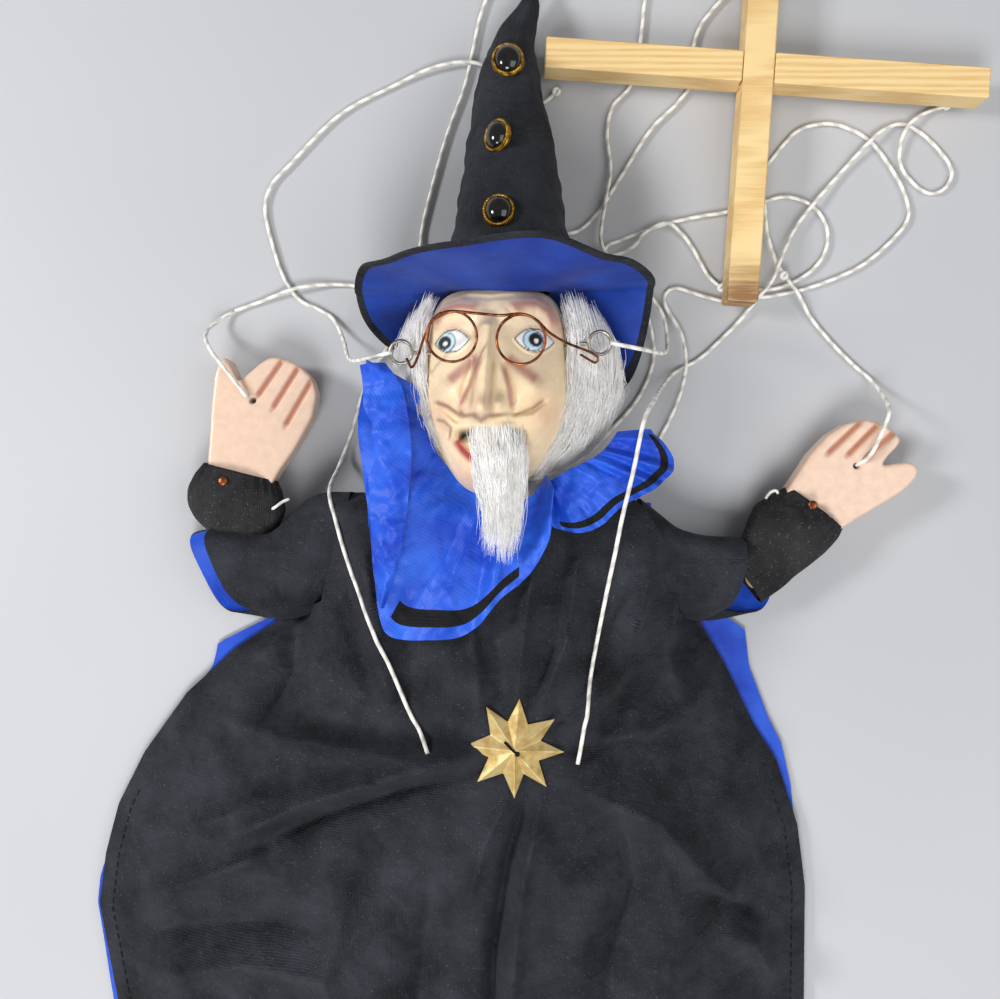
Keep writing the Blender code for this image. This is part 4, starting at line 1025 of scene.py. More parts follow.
STRINGS = (
    StringLay("string_hand_left", (
        (-121.5, 163.5, 20.8), (-123.5, 166.5, 22.6), (-130, 175, 23.4), (-138.5, 186.5, 23),
        (-143, 196, 9), (-135, 205, 1.8), (-120, 211), (-102, 217, 3.6), (-82, 219, 1.4), (-60, 216.5),
        (-35, 219), (-4, 226), (26, 229), (44, 232), (55, 236, 3.6), (61, 243, 3.6), (71, 247.5, 3.6),
        (78, 243.5, 2), (84, 236), (91, 223.5), (97.5, 217.5)), arm_stages(Side.LEFT)),
    StringLay("string_hand_right", (
        (155.1, 132.9, 17.6), (160, 137.2, 22.2), (164.5, 147, 24), (168, 157, 24), (170, 165, 12),
        (168.2, 173.5, 2), (160, 181), (150, 191), (140, 203), (133.5, 214, 3), (128.5, 220.5, 3.6),
        (123, 229, 3.2), (119, 243, 2), (117.5, 254, 3.6), (116, 259, 3.6), (110.5, 263, 2),
        (108.5, 266.5, 1.8)), arm_stages(Side.RIGHT)),
    StringLay("string_head_left", (
        (-52, 178.5, 60.2), (-64, 176, 56), (-74, 180, 30), (-80, 192, 8), (-86, 203, 1.6), (-94, 208),
        (-102, 212), (-109, 222), (-114, 236), (-118, 254), (-115, 266), (-106, 276), (-83, 299),
        (-57, 313), (-38, 321, 3), (-20, 323, 3.6), (-6, 318), (4, 309), (12, 304.5),
        (19.5, 309.5, 2.2)), HEAD_STAGES),
    StringLay("string_head_right", (
        (38.2, 182, 62.2), (52, 180, 58), (65, 182, 34), (70.5, 191, 9), (69, 205, 3.6), (59, 218, 3.6),
        (46, 227, 4.2), (42, 235, 4.2), (50, 240), (71, 247.5), (86, 251), (101, 253.5), (117, 258),
        (128, 260.5), (140, 256.5), (147, 247), (147, 236), (141, 226.5), (130, 219.5), (119, 216.5),
        (106.5, 217, 1.8)), HEAD_STAGES),
    StringLay("string_knee_left", (
        (-37.6, 10.6, ON_ROBE), (-41.8, 18.5, ON_ROBE), (-46, 27, ON_ROBE), (-54, 46, ON_ROBE),
        (-61, 62, ON_ROBE), (-68.5, 79, ON_ROBE), (-74.5, 95, ON_ROBE), (-79, 109, ON_ROBE),
        (-83.5, 121.5, 26), (-82, 134, 6), (-77, 150, 1.4), (-71, 170), (-60, 190), (-49, 208, 4),
        (-46, 216.5, 4.4), (-45, 228, 4), (-44.5, 240), (-42, 254), (-33, 287), (-24, 312), (-20, 329),
        (-15, 350), (-4, 372), (18, 390), (48, 402), (78, 408.5), (113, 403.5, 1.8)), ROBE_STAGES),
    StringLay("string_knee_right", (
        (26.2, 4.2, ON_ROBE), (28.5, 18, ON_ROBE), (32.5, 43, ON_ROBE), (37.5, 75, 50), (40.5, 95, 60),
        (43, 110, 64), (48, 130, 62), (52.5, 150, 60), (59, 160, 45), (67, 169, 16), (75.5, 177.5, 1.6),
        (87, 184), (97, 193), (106, 202, 2), (113.5, 211.5, 3.6), (120, 219.5, 5.8), (124.5, 230.5, 5.8),
        (131, 244, 4), (140, 256, 3.6), (154, 272, 2), (168, 287, 3.6), (176, 293, 2), (184.5, 294.5),
        (196, 287), (206, 274), (203.5, 265), (196, 262), (188, 267), (182, 276), (182, 287, 3),
        (186, 294.5, 3.6), (194, 300, 2), (203.5, 303.2, 1.8)), ROBE_STAGES),
    StringLay("string_shoulder", (
        (47.5, 120, 12), (55, 128, 2.2), (67.5, 145), (76, 163, 4.2), (80, 179.5, 5.2), (78.5, 194, 3.6),
        (73.5, 204.5), (70.6, 210.5), (71.8, 215.8), (77.2, 217.2), (88, 213.8), (101, 211), (113, 212.5),
        (126, 214.5), (142, 218.5), (162, 227), (176, 238), (185.5, 250), (184, 262), (177, 275),
        (168, 286.5), (158, 292.5), (147, 295), (134, 292), (125, 283), (119.5, 276),
        (112.5, 270.5, 1.8)), BACK_STAGES),
    StringLay("string_back", (
        (-10, 125, 1.5), (10, 127.5), (30, 136), (45, 150), (58.5, 166), (65.5, 185), (62, 205, 3),
        (54, 220, 6.8), (45, 229, 7), (40, 239, 6.4), (42.5, 258, 3.6), (45, 273, 2), (43.5, 290),
        (46, 303), (54, 312), (58, 325), (60, 340), (62.5, 358), (72, 375), (89, 391),
        (113.5, 399, 1.8)), BACK_STAGES),
    StringLay("string_hat", (
        (14, 239.5, 18), (22, 240.5, 10), (30, 244, 3), (36.5, 250), (42, 257), (50, 270), (64, 292),
        (76, 304), (83, 314), (83.5, 326), (87, 340), (96, 352), (107, 363), (114, 378),
        (115, 395.5, 1.8)), HEAD_STAGES),
)


@dataclass
class Control:
    """The crossed bars, their brads, and the nine strings that run to them."""

    finishes: Finishes
    nodes: dict[str, bpy.types.Object]
    form: RobeForm = field(default_factory=RobeForm)
    radius: float = 0.0009
    point_step: float = 0.0022
    robe_top: float = 0.108         # strings that lie on the robe leave it here
    floor_gap: float = 0.0002
    knot_radius: float = 0.001302
    knot_rise: float = 0.0006
    tangle: Point = (0.1262, 0.2228, 0.0042)

    def place(self, x: float, y: float, z: float = ON_FLOOR) -> Point:
        """A place in metres that a string passes, from one in millimetres."""
        if z == ON_ROBE:
            return (x * MM, y * MM, self.form.at(x * MM, y * MM) + self.radius)
        return (x * MM, y * MM, z * MM)

    def settled(self, lay: StringLay) -> list[Vector]:
        """Points along a string, laid on the robe where it lies there."""
        lies_on = any(knot[2:] == (ON_ROBE,) for knot in lay.knots)
        knots = [self.place(*knot) for knot in lay.knots]
        rough = smooth_route(knots, 60)
        length = sum((b - a).length for a, b in zip(rough, rough[1:]))
        path = smooth_route(knots, int(length / self.point_step))
        for point in path:
            if lies_on and point.y < self.robe_top:
                point.z = max(point.z, self.form.at(point.x, point.y) + self.radius)
            point.z = max(point.z, self.radius + self.floor_gap)
        return path

    def knot(self, name: str, at: Vector, body: Body) -> bpy.types.Object:
        """Tie a knot of two crossing loops at a place."""
        shape = bmesh.new()
        for tilt, swing in ((0.5, 0.2), (-0.6, 1.6)):
            turn = Matrix.Rotation(swing, 4, "Z") @ Matrix.Rotation(tilt, 4, "X")
            ring = [at + (turn @ Vector((math.cos(a), math.sin(a), 0.0))) * self.knot_radius
                    for a in np.linspace(0, 2 * math.pi, 14, endpoint=False)]
            tube(shape, ring, self.radius, 7, closed=True)
        piece = put(name, shape, self.finishes.cord)
        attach(piece, body)
        return piece

    def string(self, lay: StringLay) -> None:
        """Make a string in stages, each a tube of its own; a stage with no second body rides on its first."""
        path = self.settled(lay)
        count = len(path) - 1
        tied = path[-1] + Vector((0.0, 0.0, self.knot_rise))
        knot = self.knot(f"{lay.node}_knot", tied, Body.CONTROL)
        for number, (start, end, near, far) in enumerate(lay.stages, 1):
            part = path[round(start * count):round(end * count) + 1]
            shape = bmesh.new()
            tube(shape, part, self.radius, 8)
            piece = put(f"{lay.node}_run_{number}", shape, self.finishes.cord)
            if far is None:
                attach(piece, near)
            else:
                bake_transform(piece)
            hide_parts(lay.node)

    def build(self) -> None:
        """Dress the bars and brads, and lay the strings."""
        dress(self.nodes, self.finishes.main_bar, "pine", "control_main_bar")
        dress(self.nodes, self.finishes.cross_bar, "pine", "control_cross_bar")
        dress(self.nodes, self.finishes.rust, "rusty_nail", "brad_main_low", "brad_main_high",
            "brad_cross_left", "brad_cross_right")
        for lay in STRINGS:
            self.string(lay)
        self.knot("string_tangle_knot", Vector(self.tangle), Body.CONTROL)


def dress(nodes: dict[str, bpy.types.Object], finish: Material, slot: str, *names: str) -> None:
    """Give CAD nodes that stay in view a finish."""
    for name in names:
        mesh = nodes[name].data
        mesh.materials.clear()
        mesh.materials.append(finish)


def hill(u: np.ndarray, v: np.ndarray, at: Spot, wide: float, tall: float) -> np.ndarray:
    """A round hill of height 1 over a place of the face, in millimetres."""
    return np.exp(-((u - at[0]) / wide) ** 2 - ((v - at[1]) / tall) ** 2)


def stroke(u: np.ndarray, v: np.ndarray, line: Sequence[Spot],
        half_width: float) -> np.ndarray:
    """A brush stroke of strength 1 along a line of the face, in millimetres."""
    near, fade = Fold(tuple(line), 1.0, half_width).reach(u * MM, v * MM)
    return np.minimum(1.0, 1.6 * fade) * np.exp(-(near / half_width) ** 2.6)


def disc(u: np.ndarray, v: np.ndarray, at: Spot, radius: float,
        soft: float = 0.35) -> np.ndarray:
    """A dot of strength 1 with a soft edge, in millimetres."""
    return np.clip((radius - np.hypot(u - at[0], v - at[1])) / soft + 0.5, 0.0, 1.0)


@dataclass(frozen=True)
class PaintedEye:
    """One painted eye; places and sizes in millimetres on the face."""

    centre: Spot
    half_width: float
    half_height: float
    iris: Spot
    pupil: Spot

    def almond(self, u: np.ndarray, v: np.ndarray, grow: float = 0.0) -> np.ndarray:
        """Strength 1 inside the eye's almond shape, grown by some millimetres."""
        across = np.clip(np.abs(u - self.centre[0]) / (self.half_width + grow), 0.0, 1.0)
        lid = (self.half_height + grow) * (1 - across ** 2.2)
        return np.clip((lid - np.abs(v - self.centre[1])) / 0.4 + 0.5, 0.0, 1.0) * (across < 1.0)


@dataclass
class Head:
    """Painted head, its spectacles, screw eyes, hair and beard."""

    finishes: Finishes
    nodes: dict[str, bpy.types.Object]
    centre: Point = (-0.008, 0.163, 0.039)
    egg: Point = (32.4, 44.0, 38.5)     # half sizes of the head before its face is raised, in millimetres
    columns: int = 250
    rows: int = 190
    lowest: float = 0.0008
    paint_low: float = 2.0              # the face is painted above this height over the centre
    skin: str = "#f3dbb3"
    eye_left: PaintedEye = PaintedEye((-18.8, 19.0), 7.0, 4.4, (-21.4, 18.7), (-21.8, 18.6))
    eye_right: PaintedEye = PaintedEye((14.9, 18.9), 7.8, 4.5, (14.4, 18.7), (15.3, 19.1))
    brow_left: tuple = ((-26.4, 27), (-24.6, 30.6), (-21, 33.2), (-14.5, 33.4), (-7.5, 31))
    brow_right: tuple = ((5.2, 29.8), (10, 33.6), (16, 35), (21.4, 31.9), (24.8, 25.2))
    hills: tuple = (      # rise, place, width and height of each swelling, in millimetres
        (3.6, (-6.3, -10.2), 4.4, 3.8),
        (5.0, (-12.0, -8.6), 2.9, 3.8),
        (5.2, (0.4, -8.2), 3.0, 3.8),
        (3.0, (-20.5, -2.5), 6.5, 7.0),
        (3.4, (14.5, -1.0), 8.0, 7.0),
        (2.2, (17.5, -14.0), 6.0, 4.6),
        (1.8, (-20.0, -16.0), 4.0, 4.0),
        (4.4, (-8.5, -35.0), 8.5, 6.0),
    )
    creases: tuple = (    # rise, line and half width of each crease or lip, in millimetres
        (-2.4, ((-26, -6), (-20, -10), (-15.5, -14)), 1.5),
        (-1.6, ((-25, -15), (-21.5, -17.5), (-19, -19)), 1.3),
        (-2.2, ((5, -11), (13.5, -9.6), (20, -4.5)), 1.5),
        (-1.4, ((-8, 12), (-13, 0), (-15, -8)), 1.6),
        (-1.4, ((2, 11), (5, 0), (6, -9)), 1.6),
        (-5.0, ((-16, -19.6), (-10, -19.5), (0, -21), (10, -20.5)), 2.2),
        (2.0, ((-17, -21), (-12.5, -26.5), (-4, -29), (6, -27), (11, -22)), 1.9),
        (1.5, ((-14, -16.4), (-4, -15.6), (8, -17)), 1.8),
        (-0.8, ((-14, 38), (-4, 36.5), (8, 37.5)), 1.2),
    )
    lens_left: Point = (-0.0258, 0.1809, 0.0848)
    lens_right: Point = (0.0010, 0.1795, 0.0862)
    lens_radius: float = 0.0097
    wire: float = 0.00055
    temple_left: Point = (-0.048, 0.1785, 0.060)
    temple_right: Point = (0.034, 0.182, 0.062)
    foot_left: Point = (-0.034, 0.1785, 0.054)
    foot_right: Point = (0.020, 0.182, 0.056)
    eye_ring: float = 0.0046
    eye_tilt: float = 0.0008
    eye_wire: float = 0.0007
    eye_shank: float = 0.0008

    def relief(self, u: np.ndarray, v: np.ndarray) -> np.ndarray:
        """How far the face stands out from its egg, in millimetres, at places of the face."""
        rise = 2.6 * stroke(u, v, self.brow_left, 3.6) + 2.8 * stroke(u, v, self.brow_right, 3.8)
        for eye in (self.eye_left, self.eye_right):
            rise = rise - 3.2 * hill(u, v, eye.centre, 9.5, 7.5)
            bulge = 1 - ((u - eye.centre[0]) / 9) ** 2 - ((v - eye.centre[1]) / 7) ** 2
            rise = rise + 2.0 * eye.almond(u, v) * np.clip(bulge, 0.0, 1.0)
            rise = rise + 0.7 * (eye.almond(u, v, 1.3) - eye.almond(u, v, 0.2))
        down = np.clip((25.0 - v) / 37.0, 0.0, 1.0)
        ridge = np.exp(-(np.abs(u + 4.2 + 2.4 * down) / (3.2 + 0.9 * down)) ** 2.8)
        tail = np.clip((v + 15.4) / 3.2, 0.0, 1.0)
        rise = rise + ridge * (4.6 + 11.5 * down ** 1.25) * tail * np.clip((31.0 - v) / 7.0, 0.0, 1.0)
        rise = rise + sum(amount * hill(u, v, *place) for amount, *place in self.hills)
        return rise + sum(amount * stroke(u, v, *line) for amount, *line in self.creases)

    def colours(self, u: np.ndarray, v: np.ndarray) -> np.ndarray:
        """Painted colours at places of the face, as linear rows."""
        brow = "#a9655c"
        # patch is the mauve of the patches under the eyes, and also painted shade in the thin strokes down
        # the sides of the nose
        patch = "#9c5a55"
        blush = "#e2a883"
        # shine is pale paint for light on the tops of the brows: painted highlight
        shine = "#f0d4c4"
        lid = "#cf9484"
        # crease is brown paint in the grooves beside the nose and mouth, where shade falls: painted shade
        crease = "#7d543c"
        # Brown for the sides of the nose ridge: painted shade
        nose_side_shade = "#b98a68"
        # Line under the nose, where its shadow falls: painted shadow
        nose_shadow_line = ((-15.6, -9.5), (-13.5, -12), (-9.6, -12.6), (-6.6, -14.4), (-2.6, -12.6), (5, -11.4))
        marks = (        # strength, brush, what the brush is told, and colour
            (0.40, hill, ((-22, -10), 9, 9), blush),
            (0.40, hill, ((20, -10), 9, 9), blush),
            (0.45, hill, ((-9, -36), 12, 7), blush),
            (0.30, hill, ((-6, -9), 5, 6), blush),
            (0.78, stroke, (self.brow_left, 2.9), brow),
            (0.72, stroke, (self.brow_right, 3.1), brow),
            # Pale strokes along the tops of the brows: painted highlight.
            (0.45, stroke, (((-23, 34.4), (-16, 35.2), (-9, 33.6)), 0.9), shine),
            (0.45, stroke, (((7, 35.0), (15, 36.0), (20, 33.4)), 0.9), shine),
            (0.40, hill, ((-19, 25.5), 7, 2.2), lid),
            (0.45, hill, ((22, 27), 4, 5), lid),
            (0.80, stroke, (((-7.5, 11.5), (-14, 6.5), (-20, 2)), 2.5), patch),
            # Thin mauve stroke down the left side of the nose to its wing: painted shade.
            (0.80, stroke, (((-7, 10), (-11, 0), (-15.4, -8)), 1.3), patch),
            (0.78, stroke, (((3.6, 11.2), (9, 7), (16, 1.6)), 2.5), patch),
            # Thin mauve stroke down the right side of the nose: painted shade.
            (0.80, stroke, (((2.4, 8), (4.6, -1), (6, -9.5)), 1.2), patch),
            # Brown strokes in the grooves from the nose towards the mouth: painted shade.
            (0.80, stroke, (((-25.6, -5.4), (-20, -8), (-14, -12.6)), 0.75), crease),
            (0.70, stroke, (((6, -11.8), (14, -9), (18.5, -5.4)), 0.75), crease),
            (0.65, stroke, (((-25.4, -12.4), (-22, -13.6), (-19, -16.4), (-20, -21)), 0.7), crease),
            # Brown strokes down both edges of the nose ridge: painted shade.
            (0.60, stroke, (((-6.5, 9), (-9.4, 0), (-10.4, -9.5)), 0.8), nose_side_shade),
            (0.45, stroke, (((-1.6, 9), (-2.4, 0), (-3, -10)), 0.8), nose_side_shade),
            # Greyish line across the top of the forehead, along its crease under the brim: painted shade.
            (0.45, stroke, (((-22, 38.2), (-12, 40.2), (-3, 38.6), (8, 40.2)), 0.9), "#a3906c"),
            # Brown line under the nose: painted shadow.
            (0.80, stroke, (nose_shadow_line, 0.8), "#84573c"),
            (0.95, stroke, (((-17, -21), (-14, -25.5), (-10, -29.4)), 1.9), "#a8281c"),
            (0.60, stroke, (((9, -26), (11.4, -22)), 1.2), "#8d3a2c"),
            (0.97, stroke, (((-16, -19.4), (-10, -19), (0, -20.5), (10, -20.4)), 1.8), "#0d0b0b"),
        )
        layers = [(share * brush(u, v, *told), code) for share, brush, told, code in marks]
        for eye in (self.eye_left, self.eye_right):
            inside = eye.almond(u, v)
            layers += [(0.95 * eye.almond(u, v, 0.6), "#2a2020"), (inside, "#f4f3ef"),
                (inside * disc(u, v, eye.iris, 4.4), "#4d5b66"),
                (inside * disc(u, v, eye.iris, 3.9), "#cbe6f3"),
                (inside * disc(u, v, eye.pupil, 2.9), "#2b3038"),
                (inside * disc(u, v, eye.pupil, 2.4), "#060607"),
                # White dot on each pupil: painted highlight.
                (disc(u, v, (eye.pupil[0] + 0.3, eye.pupil[1] - 0.4), 0.95), "#ffffff"),]
        return layered(self.skin, len(u), layers)

    def skull(self) -> None:
        """Make the head: an egg with a raised, painted face."""
        polar = np.linspace(0.02, math.pi - 0.02, self.rows)
        even = np.linspace(-1.0, 1.0, self.columns, endpoint=False)
        turn = math.pi * (0.42 * even + 0.58 * even ** 3)
        side, up = np.meshgrid(turn, polar)
        girth = np.where(up < math.pi / 2, np.sin(up) ** 0.32, np.sin(up) ** 0.9)
        wide, tall, deep = self.egg
        u = wide * girth * np.sin(side)
        v = tall * np.cos(up)
        z = deep * np.where(up < math.pi / 2, np.sin(up) ** 0.5, np.sin(up)) * np.cos(side)
        jaw = np.clip((-v - 4.0) / 36.0, 0.0, 1.0)
        u = u * (1 - 0.16 * jaw) - 3.5 * jaw ** 1.5
        front = np.clip(z / 14.0, 0.0, 1.0)
        z = z + self.relief(u, v) * front * front * (3 - 2 * front)
        shape = bmesh.new()
        cx, cy, cz = self.centre
        grid = [[shape.verts.new((cx + a * MM, cy + b * MM, max(self.lowest, cz + c * MM)))
                 for a, b, c in zip(*row)] for row in zip(u, v, z)]
        for high, low in zip(grid, grid[1:]):
            for k in range(self.columns):
                nxt = (k + 1) % self.columns
                shape.faces.new((low[k], low[nxt], high[nxt], high[k]))
        shape.faces.new(list(reversed(grid[-1])))
        shape.faces.new(grid[0])
        bmesh.ops.recalc_face_normals(shape, faces=shape.faces[:])
        piece = put("painted_head", shape, self.finishes.face)
        shade = self.colours(u.ravel(), v.ravel())
        shade[z.ravel() < self.paint_low] = linear(self.skin)
        paint(piece, shade)
        fix(piece, Body.HEAD, "head")

    def ring(self, at: Point, radius: float, start: float, sweep: float, rise: float) -> list[Vector]:
        """Points of a wire ring round a place, from a start angle in degrees, climbing as it goes."""
        steps = max(8, int(abs(sweep) / 9))
        turns = [math.radians(start + sweep * k / steps) for k in range(steps + 1)]
        return [Vector((at[0] + radius * math.cos(a), at[1] + radius * 1.02 * math.sin(a),
            at[2] + rise * k / steps)) for k, a in enumerate(turns)]

    def spectacles(self) -> None:
        """Bend the spectacles from one copper wire and hook them into two steel screw eyes."""
        left = self.ring(self.lens_left, self.lens_radius, 150, -395, 0.0012)
        right = self.ring(self.lens_right, self.lens_radius * 0.97, 112, 395, 0.0012)
        bridge = [(-0.0338, 0.1872, 0.0842), (-0.0262, 0.1905, 0.0852), (-0.0170, 0.1897, 0.0866),
                  (-0.0070, 0.1886, 0.0880), (0.0012, 0.1892, 0.0878), (0.0068, 0.1872, 0.0868),
                  (0.0125, 0.1828, 0.0820), (0.0200, 0.1798, 0.0750), (0.0290, 0.1778, 0.0668),
                  (0.0330, 0.1758, 0.0636), (0.0318, 0.1736, 0.0640), (0.0255, 0.1760, 0.0700)]
        temple = [(-0.0338, 0.1872, 0.0842), (-0.0376, 0.1812, 0.0760), (-0.0404, 0.1752, 0.0690),
                  (-0.0432, 0.1716, 0.0644), (-0.0456, 0.1756, 0.0616)]
        shape = bmesh.new()
        for path in (left, right, smooth_route(bridge, 60), smooth_route(temple, 26)):
            tube(shape, path, self.wire, 8)
        piece = put("wire_spectacles", shape, self.finishes.copper)
        fix(piece, Body.HEAD, "spectacles")
        size = Vector((self.eye_ring, self.eye_ring, self.eye_tilt))
        for side, eye, foot in ((Side.LEFT, self.temple_left, self.foot_left),
                                (Side.RIGHT, self.temple_right, self.foot_right)):
            shape = bmesh.new()
            towards = (Vector(foot) - Vector(eye)).normalized()
            loop = [Vector(eye) + Vector((math.cos(a), math.sin(a), math.sin(a))) * size
                    for a in np.linspace(0, 2 * math.pi, 30, endpoint=False)]
            tube(shape, loop, self.eye_wire, 8, closed=True)
            tube(shape, smooth_route([tuple(Vector(eye) + towards * self.eye_ring), foot], 8),
                self.eye_shank, 8)
            piece = put(f"temple_screw_eye_{side.word}", shape, self.finishes.steel)
            fix(piece, Body.HEAD, f"temple_eye_{side.word}")

    def lock(self, name: str, node: str, guides: Sequence[Sequence[Point]], count: int, seed: int,
            spread: float, thick: float, short: float, tuft_count: int) -> None:
        """Grow a mass of strands between guide lines.

        Args:
            name: The piece's name.
            node: The CAD node that it stands for.
            guides: Lines of five places each, which strands drift between, in millimetres: across and up from
                the head's centre, and in height from the table.
            count: How many strands.
            seed: Seed of the strands' scatter.
            spread: How far strands stray, in millimetres.
            thick: Radius of a strand's root, in millimetres.
            short: Least share of its guide that a strand runs.
            tuft_count: How many tufts the strands draw together into.
        """
        dice = np.random.default_rng(seed)
        table = np.array(guides, dtype=float)
        data = bpy.data.curves.new(name, "CURVE")
        data.dimensions = "3D"
        data.bevel_depth = thick * MM
        data.bevel_resolution = 0
        data.resolution_u = 2
        places = np.arange(table.shape[1])
        joints = 8
        share = np.linspace(0.0, 1.0, joints)
        pull = 0.12 + 0.78 * share ** 1.3
        tufts = np.sort(dice.random(tuft_count)) * (len(table) - 1)
        sway = dice.normal(0.0, spread, (tuft_count, 3))
        phase = dice.random(tuft_count) * 6.0
        for _ in range(count):
            where = dice.random() * (len(table) - 1)
            tuft = int(np.argmin(np.abs(tufts - where + dice.normal(0.0, 0.12))))
            across = np.clip(where + (tufts[tuft] - where) * pull, 0.0, len(table) - 1.001)
            start = dice.random() ** 1.6 * 0.6
            end = min(1.0, max(start + 0.3, short + (1 - short) * dice.random() ** 0.9))
            along = (start + (end - start) * share) * (table.shape[1] - 1)
            points = np.zeros((joints, 3))
            for axis in range(3):
                lines = np.stack([np.interp(along, places, line[:, axis]) for line in table])
                low = across.astype(int)
                part = across - low
                spot = np.arange(joints)
                points[:, axis] = lines[low, spot] * (1 - part) + lines[low + 1, spot] * part
            drift = dice.normal(0.0, spread, 3)
            drift[2] = -abs(drift[2]) * 1.6
            bend = np.sin(4.5 * share + phase[tuft])[:, None] * sway[tuft] * (0.2 + 0.8 * share)[:, None]
            curl = dice.normal(0.0, spread * 0.36, (joints, 3)).cumsum(axis=0) * (0.1 + 0.9 * share)[:, None]
            points = points + drift * (1.1 - 0.7 * pull)[:, None] + bend + curl
            spline = data.splines.new("POLY")
            spline.points.add(joints - 1)
            for k, (u, v, z) in enumerate(points):
                point = spline.points[k]
                point.co = (self.centre[0] + u * MM, self.centre[1] + v * MM, max(0.001, z * MM), 1.0)
                point.radius = min(1.0, 0.3 + 3.0 * share[k]) * (1.0 - 0.8 * share[k] ** 1.5)
        data.materials.append(self.finishes.fur)
        piece = bpy.data.objects.new(name, data)
        bpy.context.scene.collection.objects.link(piece)
        fix(piece, Body.HEAD, node)

    def hair(self) -> None:
        """Grow the hair of both sides and the beard."""
        self.lock("hair_strands_right", "hair_right", (
            ((28, 40, 57), (32, 24, 60), (31, 1, 59), (25.5, -16, 55), (11, -36, 49)),
            ((35, 38, 53), (40.5, 21, 56), (39.5, -3, 55), (32.6, -20.8, 51), (16, -37, 45)),
            ((42, 34, 42), (49, 19, 46), (50, 2, 45), (43.5, -17.4, 41), (23, -34, 38)),
            ((45, 30, 22), (52, 16, 24), (52, -1, 24), (43, -17, 22), (27, -29, 24)),
        ), count=3400, seed=5, spread=1.7, thick=0.14, short=0.35, tuft_count=60)
        self.lock("hair_strands_left", "hair_left", (
            ((-27, 39.5, 56), (-32, 27, 58), (-31.4, 4, 58), (-27.6, -15, 55), (-19.5, -32, 50)),
            ((-32, 36.5, 48), (-37, 23, 50), (-36.6, 3, 50), (-32, -15, 48), (-22.0, -30, 44)),
            ((-37, 32, 34), (-43, 19, 36), (-42, 1, 36), (-35.4, -13, 34), (-26.5, -25.5, 34)),
            ((-38, 28, 18), (-43, 15, 18), (-41, -1, 18), (-35, -14, 20), (-28, -22, 22)),
        ), count=2600, seed=8, spread=1.5, thick=0.14, short=0.35, tuft_count=44)
        self.lock("beard_strands", "beard", (
            ((-8.6, -16.5, 75), (-8.6, -27, 76), (-7, -39, 72), (-6, -52, 66), (-6.5, -67, 61)),
            ((-4, -14.8, 77), (-3.6, -27, 79), (-2.6, -40, 75), (-1.6, -54, 68), (-0.8, -70, 61)),
            ((3, -15.2, 78), (4, -27, 79), (4.4, -40, 75), (4, -54, 68), (3.4, -73, 61)),
            ((10.4, -18.5, 74), (11, -27, 74), (11, -38, 70), (10.0, -50, 65), (7.5, -66, 61)),
        ), count=2800, seed=3, spread=1.25, thick=0.13, short=0.15, tuft_count=9)

    def build(self) -> None:
        """Make every piece of the head below the hat."""
        self.skull()
        self.spectacles()
        self.hair()
        dress(self.nodes, self.finishes.steel, "steel_wire", "neck_eye_upper", "neck_eye_lower")


